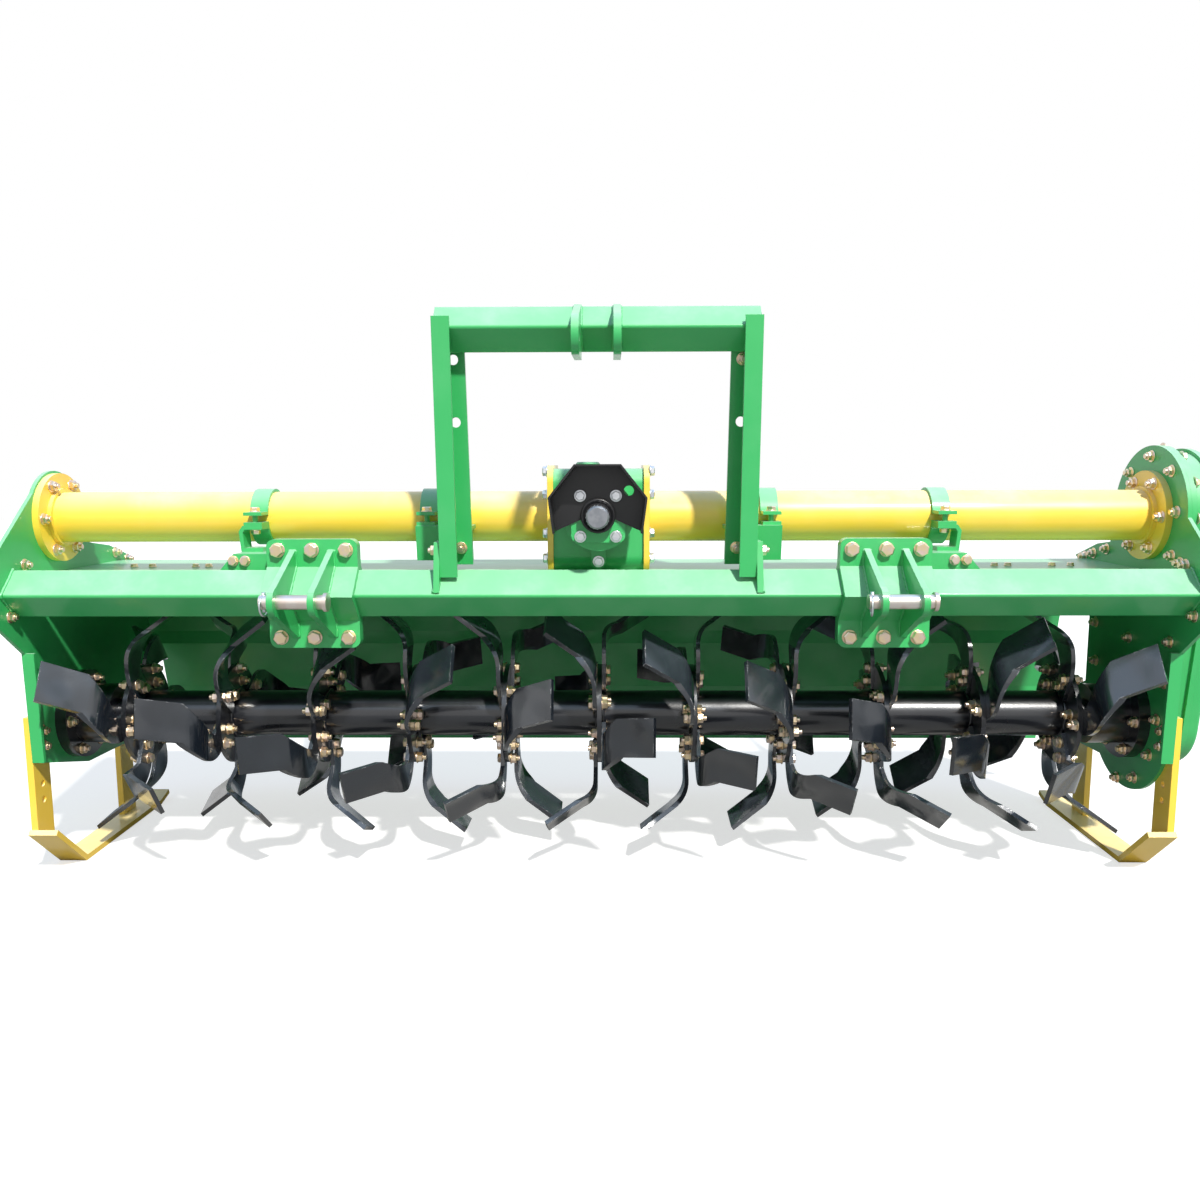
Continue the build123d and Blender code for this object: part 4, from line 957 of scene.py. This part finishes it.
@dataclass
class Mast:
    """Bolts of the mast's legs."""

    half: float = 312.0
    leg_wall: float = 8.0
    lug: float = 12.0
    beam_y: float = -206.0
    bolt_z: float = 704.0
    front_x: float = 283.0
    front_places: tuple[tuple[float, float], ...] = ((-144.0, 704.0), (-200.3, 1077.0))
    leaning: Place = (0, -0.989, -0.150)

    def build(self, shop: FinishShop) -> None:
        """Make the mast's fasteners.

        Args:
            shop: Source of materials.
        """
        foot, top = self.front_places
        bolts = FastenerSet("mast_bolts", HexBolt(head=9.0, stem=5.0), 31)
        for side in BOTH_SIDES:
            bolts.put(side * self.front_x, *foot, self.leaning)
            bolts.put(side * (self.half + self.lug), self.beam_y, self.bolt_z, (side, 0, 0))
            bolts.put(side * (self.half - self.leg_wall), self.beam_y, self.bolt_z, (-side, 0, 0))
        bolts.put(self.front_x, *top, self.leaning)
        bolts.build(shop)


@dataclass
class DriveTrain:
    """Bolts of the axle tubes, the gearbox, its guard, the side plates and the side gear case."""

    tube_y: float = -30.0
    tube_z: float = 763.0
    flange_x: float = 1166.0
    flange_circle: float = 78.0
    rotor_z: float = 320.0
    bearing_x: float = 1156.0
    bearing_circle: float = 82.0
    end_x: float = 1180.0
    end_plate: float = 8.0
    case_x: float = 1200.0
    case_circle: float = 141.0
    skid_face: float = 1202.0
    skid_bolt_y: float = -148.0
    skid_bolt_z: tuple[float, float] = (318.0, 285.0)
    gearbox_x: float = 105.0
    gearbox_bolts: tuple[tuple[float, float], ...] = (
        (-128, 860), (-30, 860), (68, 860), (-128, 812), (-128, 733), (-128, 681), (70, 790), (70, 720),
    )
    input_bolts: tuple[Place, ...] = (
        (-35.5, -210, 812), (35.5, -210, 812), (-35.5, -206, 731), (35.5, -206, 731), (0.0, -152.0, 676.0),
    )
    case_bolts: tuple[tuple[float, float], ...] = (
        (-28, 888), (54, 852), (-109, 857), (-139, 774), (-132, 684), (15, 489), (-148, 507), (-137, 418),
        (-121, 335), (-100, 252),
    )
    right_bolts: tuple[tuple[float, float], ...] = (
        (-185, 670), (170, 499), (158, 409), (26, 163), (-47, 186), (246, 650), (201, 661), (140, 676),
        (-227, 573), (-165, 672),
    )
    left_bolts: tuple[tuple[float, float], ...] = ((-165, 672), (-227, 573), (213, 666), (271, 645))
    input_z: float = 773.0
    spline_teeth: int = 20
    spline_circle: float = 21.2
    spline_reach: tuple[float, float] = (-292.0, -228.0)
    spline_radius: float = 1.7
    seal_y: float = -218.0
    seal_profile: tuple[tuple[float, float], ...] = (
        (0.0322, 0.0), (0.0345, 0.001), (0.0345, 0.0085), (0.0325, 0.0105), (0.0300, 0.0105),
        (0.0285, 0.0085), (0.0262, 0.0085), (0.0255, 0.0070),
    )
    dome_profile: tuple[tuple[float, float], ...] = (
        (0.0135, -0.0002), (0.0135, 0.0008), (0.0122, 0.0020), (0.0088, 0.0031), (0.0040, 0.0037),
    )

    def build(self, shop: FinishShop) -> None:
        """Make the drive train's small pieces.

        Args:
            shop: Source of materials.
        """
        self.build_flange_bolts(shop)
        self.build_gearbox_bolts(shop)
        self.build_case_bolts(shop)
        self.build_skid_domes(shop)
        self.build_splines(shop)
        self.build_seal(shop)

    def build_flange_bolts(self, shop: FinishShop) -> None:
        """Make the rings of bolts on the tubes' round flanges and the bearing housings.

        Args:
            shop: Source of materials.
        """
        rings = FastenerSet("tube_flange_bolts", HexBolt(head=9.0, stem=6.0), 41)
        for side in BOTH_SIDES:
            for step in range(6):
                angle = math.radians(30.0 + 60.0 * step)
                y = self.tube_y + self.flange_circle * math.sin(angle)
                z = self.tube_z + self.flange_circle * math.cos(angle)
                rings.put(side * self.flange_x, y, z, (-side, 0, 0))
                y = self.bearing_circle * math.sin(angle)
                z = self.rotor_z + self.bearing_circle * math.cos(angle)
                rings.put(side * self.bearing_x, y, z, (-side, 0, 0))
        rings.build(shop)

    def build_gearbox_bolts(self, shop: FinishShop) -> None:
        """Make the silver bolts of the gearbox flanges, the guard and the input flange.

        Args:
            shop: Source of materials.
        """
        bolts = FastenerSet("gearbox_bolts", HexBolt(flats=17.0, washer=12.0), 42, finish=WHITE_ZINC)
        for side in BOTH_SIDES:
            for y, z in self.gearbox_bolts:
                bolts.put(side * self.gearbox_x, y, z, (side, 0, 0))
        for x, y, z in self.input_bolts:
            bolts.put(x, y, z, (0, -1, 0))
        bolts.build(shop)

    def build_case_bolts(self, shop: FinishShop) -> None:
        """Make the bolts round the right drop plate and on both side plates.

        Args:
            shop: Source of materials.
        """
        inner = FastenerSet("side_plate_bolts", HexBolt(flats=17.0, head=9.0, stem=5.0), 43)
        outer = FastenerSet("side_plate_heads", HexBolt(flats=17.0), 44)
        for y, z in self.case_bolts:
            inner.put(self.end_x, y, z, (-1, 0, 0))
        for side, places in ((1, self.right_bolts), (-1, self.left_bolts)):
            for y, z in places:
                inner.put(side * self.end_x, y, z, (-side, 0, 0))
                outer.put(side * (self.end_x + self.end_plate), y, z, (side, 0, 0))
        for side in BOTH_SIDES:
            for z in self.skid_bolt_z:
                inner.put(side * self.end_x, self.skid_bolt_y, z, (-side, 0, 0))
        for step in range(7):
            angle = math.radians(-90.0 + 30.0 * step)
            y = self.tube_y + self.case_circle * math.sin(angle)
            z = self.tube_z + self.case_circle * math.cos(angle)
            outer.put(self.case_x, y, z, (1, 0, 0))
        inner.build(shop)
        outer.build(shop)

    def build_skid_domes(self, shop: FinishShop) -> None:
        """Make the low round heads of the skids' bolts, outside their legs.

        Args:
            shop: Source of materials.
        """
        builder = MeshBuilder()
        for side in BOTH_SIDES:
            for z in self.skid_bolt_z:
                place = facing(row(side * self.skid_face, self.skid_bolt_y, z), Vector((side, 0.0, 0.0)))
                builder.turned(self.dome_profile, 24, place)
        builder.finish("skid_bolt_heads", Body.FRAME, shop.get(GOLD_ZINC), Slot.STEEL)

    def build_splines(self, shop: FinishShop) -> None:
        """Make the splines of the input shaft.

        Args:
            shop: Source of materials.
        """
        builder = MeshBuilder()
        for tooth in range(self.spline_teeth):
            angle = turn_part(tooth, self.spline_teeth)
            x = self.spline_circle * math.cos(angle)
            z = self.input_z + self.spline_circle * math.sin(angle)
            builder.swept([row(x, y, z) for y in self.spline_reach], self.spline_radius / MM_PER_M, 6)
        builder.finish("input_splines", Body.SHAFT, shop.get(SHAFT_STEEL), Slot.STEEL)

    def build_seal(self, shop: FinishShop) -> None:
        """Make the black seal ring round the input shaft.

        Args:
            shop: Source of materials.
        """
        builder = MeshBuilder()
        place = facing(row(0.0, self.seal_y, self.input_z), Vector((0.0, -1.0, 0.0)))
        builder.turned(self.seal_profile, 48, place)
        builder.finish("input_seal", Body.FRAME, shop.get(GUARD_PLASTIC), Slot.BLACK)


@dataclass
class Welds:
    """Weld beads of the frame: top link ears, lugs, hitch ears and the beam's ends."""

    bead: float = 3.2
    wobble: float = 0.7
    spacing: float = 3.5
    beam: Place = (-206.0, 618.0, 49.5)
    top_beam: Place = (-222.0, 1131.0, 45.3)
    ear_x: tuple[float, float] = (30.5, 44.5)
    ear_end: tuple[float, float] = (6.0, 4.0)
    lug_x: float = 324.0
    lug_end: tuple[float, float] = (3.0, 6.0)
    lug_top: float = 2.0
    hitch_x: float = 570.0
    hitch_ears: tuple[float, float] = (32.0, 44.0)
    hitch_plate: tuple[float, float] = (12.0, 88.0)
    hitch_toe: tuple[float, float] = (17.0, 5.0)
    end_x: float = 1178.5

    def paths(self) -> list[list[Place]]:
        """Lines that the beads follow.

        Returns:
            Each line's places in machine millimetres.
        """
        lines = []
        y, z, half = self.top_beam
        back, down = self.ear_end
        for away in self.ear_x:
            for side in BOTH_SIDES:
                x = side * away
                lines.append([(x, y - back, z + half - down), (x, y - half, z), (x, y - back, z - half + down)])
        y, z, half = self.beam
        face, reach = self.hitch_plate
        out, past = self.hitch_toe
        for side in BOTH_SIDES:
            x, (into, up) = side * self.lug_x, self.lug_end
            lines.append([
                (x, y - half + into, z + up), (x, y, z + half + self.lug_top), (x, y + half - into, z + up),
            ])
            x = side * self.end_x
            lines.append([(x, y, z + half), (x, y - half, z), (x, y, z - half), (x, y + half, z)])
            for away in self.hitch_ears:
                for hand in BOTH_SIDES:
                    x = side * self.hitch_x + hand * away
                    lines.append([
                        (x, y - face, z + reach), (x, y - face, z + half + past), (x, y - half - out, z),
                        (x, y - face, z - half - past), (x, y - face, z - reach),
                    ])
        return lines

    def build(self, shop: FinishShop) -> None:
        """Make every bead as one joined piece.

        Args:
            shop: Source of materials.
        """
        rng = random.Random(71)
        builder = MeshBuilder()
        for line in self.paths():
            path = []
            for start, stop in zip(line, line[1:]):
                count = max(2, int(math.dist(start, stop) / self.spacing))
                for step in range(count):
                    share = step / count
                    place = [
                        a + (b - a) * share + rng.uniform(-self.wobble, self.wobble)
                        for a, b in zip(start, stop)
                    ]
                    path.append(row(*place))
            path.append(row(*line[-1]))
            builder.swept(path, self.bead / MM_PER_M, 6)
        builder.finish("frame_welds", Body.FRAME, shop.get(GREEN_PAINT), Slot.GREEN)


@dataclass
class Clamps:
    """Bolts of the tube clamps and their brackets."""

    inner_x: float = 358.0
    outer_x: float = 718.0
    tube_y: float = -30.0
    tube_z: float = 763.0
    reach: float = 81.5
    ear: float = 14.0
    bracket_ear: float = 8.0
    bracket_bolts: tuple[float, float] = (0.0, 24.0)
    bracket_place: tuple[float, float] = (-180.0, 681.0)

    def build(self, shop: FinishShop) -> None:
        """Make the clamps' fasteners.

        Args:
            shop: Source of materials.
        """
        bolts = FastenerSet("clamp_bolts", HexBolt(flats=17.0, washer=11.0), 51)
        for side in BOTH_SIDES:
            for x in (self.inner_x, self.outer_x):
                for away in BOTH_SIDES:
                    y = self.tube_y + away * self.reach
                    below = self.tube_z - self.ear - (self.bracket_ear if away < 0 else 0.0)
                    bolts.put(side * x, y, self.tube_z + self.ear, (0, 0, 1))
                    bolts.put(side * x, y, below, (0, 0, -1))
            for offset in self.bracket_bolts:
                bolts.put(side * (self.outer_x + offset), *self.bracket_place, (0, -1, 0))
        bolts.build(shop)


@dataclass
class Hood:
    """Bolts along the hood's top."""

    top_z: float = 645.0
    y: float = 62.0
    bolt_x: tuple[float, ...] = (1062.0, 1020.0, 921.0, 891.0)

    def build(self, shop: FinishShop) -> None:
        """Make the hood's fasteners.

        Args:
            shop: Source of materials.
        """
        bolts = FastenerSet("hood_bolts", HexBolt(flats=13.0, head=5.0, washer=8.5), 61)
        for side in BOTH_SIDES:
            for x in self.bolt_x:
                bolts.put(side * x, self.y, self.top_z, (0, 0, 1))
        bolts.build(shop)


@dataclass
class TailSprings:
    """Coils of the two tailboard springs, in place of their plain sleeves."""

    rod_x: float = 740.0
    pin: tuple[float, float] = (480.0, 320.0)
    guide: tuple[float, float] = (430.0, 640.0)
    coil_radius: float = 17.8
    wire: float = 2.2
    foot: float = 111.9
    length: float = 130.0
    turns: int = 11
    steps_per_turn: int = 20

    def build(self, shop: FinishShop) -> None:
        """Make the coils.

        Args:
            shop: Source of materials.
        """
        up = Vector((0.0, self.guide[0] - self.pin[0], self.guide[1] - self.pin[1])).normalized()
        across = Vector((1.0, 0.0, 0.0))
        third = up.cross(across)
        builder = MeshBuilder()
        steps = self.turns * self.steps_per_turn
        for side in BOTH_SIDES:
            base = Vector((side * self.rod_x, self.pin[0], self.pin[1]))
            path = []
            for step in range(steps + 1):
                angle = turn_part(step, self.steps_per_turn)
                height = self.foot + self.wire + (self.length - 2 * self.wire) * step / steps
                place = base + up * height
                place += (across * math.cos(angle) + third * math.sin(angle)) * self.coil_radius
                path.append(row(*place))
            builder.swept(path, self.wire / MM_PER_M, 8)
        coils = builder.finish("spring_coils", Body.RODS, shop.get(SHAFT_STEEL), Slot.STEEL)
        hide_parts("tail_springs")


@dataclass
class PaintWork:
    """Materials of the carried-over CAD nodes, green where no prefix fits."""

    by_prefix: tuple[tuple[str, Finish], ...] = (
        ("axle_tube", YELLOW_PAINT),
        ("skid", YELLOW_PAINT),
        ("blades", BLADE_PAINT),
        ("rotor", BLACK_PAINT),
        ("input_guard", GUARD_PLASTIC),
        ("input_shaft", SHAFT_STEEL),
        ("hitch_pin", PIN_STEEL),
        ("tail_rods", GOLD_ZINC),
        ("tail_rod_pins", GOLD_ZINC),
    )

    def apply(self, nodes: dict[str, bpy.types.Object], shop: FinishShop) -> None:
        """Give each CAD node its finish.

        Args:
            nodes: The frame's nodes.
            shop: Source of materials.
        """
        for name, thing in nodes.items():
            finish: Finish = next((f for prefix, f in self.by_prefix if name.startswith(prefix)), GREEN_PAINT)
            for slot in thing.material_slots:
                slot.material = shop.get(finish)
            LOG.info("node %s gets %s", name, finish.name)


# Studio

@dataclass
class Studio:
    """Light, sky, floor and camera. Floor sizes in metres, the camera's place in millimetres."""

    sun_from: Place = (0.28, -0.62, 0.73)
    sun_power: float = 4.9
    sun_angle: float = 2.5
    sun_color: Color = (1.0, 0.97, 0.92)
    sky: tuple[tuple[float, Color], ...] = (
        (0.0, (1.0, 1.0, 1.0)),
        (0.71, (1.0, 1.0, 1.0)),
        (0.78, (1.10, 1.30, 1.55)),
        (0.88, (0.75, 0.95, 1.25)),
        (1.0, (0.55, 0.85, 1.30)),
    )
    sky_light: float = 0.42
    floor_half: float = 14.0
    floor_z: float = -0.0005
    floor_seen: float = 0.50
    floor_lift: float = 0.65
    floor_bounce: float = 0.34
    camera_at: Place = (27.0, -2197.0, 871.0)
    yaw: float = -0.68
    pitch: float = 7.65
    roll: float = 0.15
    focal: float = 1000.0
    sensor: float = 36.0
    frame_width: float = 1200.0
    clip: tuple[float, float] = (0.05, 60.0)

    def build(self) -> None:
        """Make the whole studio."""
        self.build_sky()
        self.build_floor()
        self.build_sun()
        self.build_camera()
        bpy.context.scene.view_settings.view_transform = "Standard"
        LOG.info("studio ready")

    def build_sky(self) -> None:
        """Make a sky that lights from above and stays white to the camera."""
        world = bpy.data.worlds.new("studio_sky")
        bpy.context.scene.world = world
        world.use_nodes = True
        graph = Graph(world.node_tree)
        graph.tree.nodes.clear()
        out = graph.add("ShaderNodeOutputWorld")
        coords = graph.add("ShaderNodeTexCoord")
        parts = graph.add("ShaderNodeSeparateXYZ")
        graph.link(coords.outputs["Generated"], parts.inputs[0])
        height = graph.math("ADD", graph.math("MULTIPLY", parts.outputs["Z"], 0.5), 0.5)
        ramp = graph.add("ShaderNodeValToRGB")
        ramp.color_ramp.interpolation = "EASE"
        elements = ramp.color_ramp.elements
        elements[0].position, elements[1].position = self.sky[0][0], self.sky[-1][0]
        elements[0].color, elements[1].color = (*self.sky[0][1], 1.0), (*self.sky[-1][1], 1.0)
        for position, color in self.sky[1:-1]:
            elements.new(position).color = (*color, 1.0)
        graph.link(height, ramp.inputs["Fac"])
        light = graph.add("ShaderNodeBackground")
        light.inputs["Strength"].default_value = self.sky_light
        graph.link(ramp.outputs["Color"], light.inputs["Color"])
        shown = graph.add("ShaderNodeBackground")
        graph.link(ramp.outputs["Color"], shown.inputs["Color"])
        path = graph.add("ShaderNodeLightPath")
        seen = graph.math("ADD", path.outputs["Is Camera Ray"], path.outputs["Is Glossy Ray"])
        seen = graph.math("ADD", seen, path.outputs["Is Transmission Ray"], clamp=True)
        choose = graph.add("ShaderNodeMixShader")
        graph.link(seen, choose.inputs[0])
        graph.link(light.outputs[0], choose.inputs[1])
        graph.link(shown.outputs[0], choose.inputs[2])
        graph.link(choose.outputs[0], out.inputs["Surface"])

    def build_floor(self) -> None:
        """Make the plain pale floor, which shows the shadow and throws little light back."""
        half = self.floor_half
        mesh = bpy.data.meshes.new("studio_floor")
        corners = [(-half, -half, 0.0), (half, -half, 0.0), (half, half, 0.0), (-half, half, 0.0)]
        mesh.from_pydata(corners, [], [(0, 1, 2, 3)])
        material, graph, shader = new_material("pale_floor")
        shader.inputs["Roughness"].default_value = 0.9
        shader.inputs["Specular IOR Level"].default_value = 0.0
        shader.inputs["Emission Strength"].default_value = 1.0
        to_camera = graph.add("ShaderNodeLightPath").outputs["Is Camera Ray"]
        bounce, seen, lift = ((value,) * 3 for value in (self.floor_bounce, self.floor_seen, self.floor_lift))
        graph.link(graph.mix(to_camera, bounce, seen), shader.inputs["Base Color"])
        graph.link(graph.mix(to_camera, (0.0, 0.0, 0.0), lift), shader.inputs["Emission Color"])
        mesh.materials.append(material)
        plane = new_object("studio_floor", mesh)
        plane.location.z = self.floor_z
        plane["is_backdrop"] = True

    def build_sun(self) -> None:
        """Make the sun, high in front and a little to the right."""
        light = bpy.data.lights.new("sun", "SUN")
        light.energy = self.sun_power
        light.angle = math.radians(self.sun_angle)
        light.color = self.sun_color
        sun = new_object("sun", light)
        sun.rotation_mode = "QUATERNION"
        sun.rotation_quaternion = Vector(self.sun_from).to_track_quat("Z", "Y")

    def build_camera(self) -> None:
        """Make the camera at the photograph's place."""
        data = bpy.data.cameras.new("camera")
        data.sensor_width = self.sensor
        data.lens = self.sensor * self.focal / self.frame_width
        data.clip_start, data.clip_end = self.clip
        camera = new_object("camera", data)
        yaw, pitch, roll = (math.radians(angle) for angle in (self.yaw, self.pitch, self.roll))
        forward = Vector((math.sin(yaw) * math.cos(pitch), math.cos(yaw) * math.cos(pitch), -math.sin(pitch)))
        right = Vector((math.cos(yaw), -math.sin(yaw), 0.0))
        down = forward.cross(right)
        across = right * math.cos(roll) + down * math.sin(roll)
        lower = down * math.cos(roll) - right * math.sin(roll)
        turn = Matrix((across, -lower, -forward)).transposed().to_4x4()
        camera.matrix_world = Matrix.Translation(row(*self.camera_at)) @ turn
        bpy.context.scene.camera = camera


def note_size(sizes: dict[str, list[list[float]]], label: str) -> None:
    """Keep the box of what is shown.

    Args:
        sizes: Where it is kept.
        label: When it was measured.
    """
    low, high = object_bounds()
    sizes[label] = [[round(v, 5) for v in low], [round(v, 5) for v in high]]


def main() -> None:
    """Build the whole scene."""
    logging.basicConfig(level=logging.INFO, format="%(name)s: %(message)s")
    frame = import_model()
    sizes: dict[str, list[list[float]]] = {}
    note_size(sizes, "cad")
    shop = FinishShop(SharedEffects())
    PaintWork().apply(frame["nodes"], shop)
    for part in (Rotor(), Hitch(), Mast(), DriveTrain(), Welds(), Clamps(), Hood(), TailSprings()):
        part.build(shop)
    Studio().build()
    note_size(sizes, "shown")


if __name__ == "__main__":
    main()
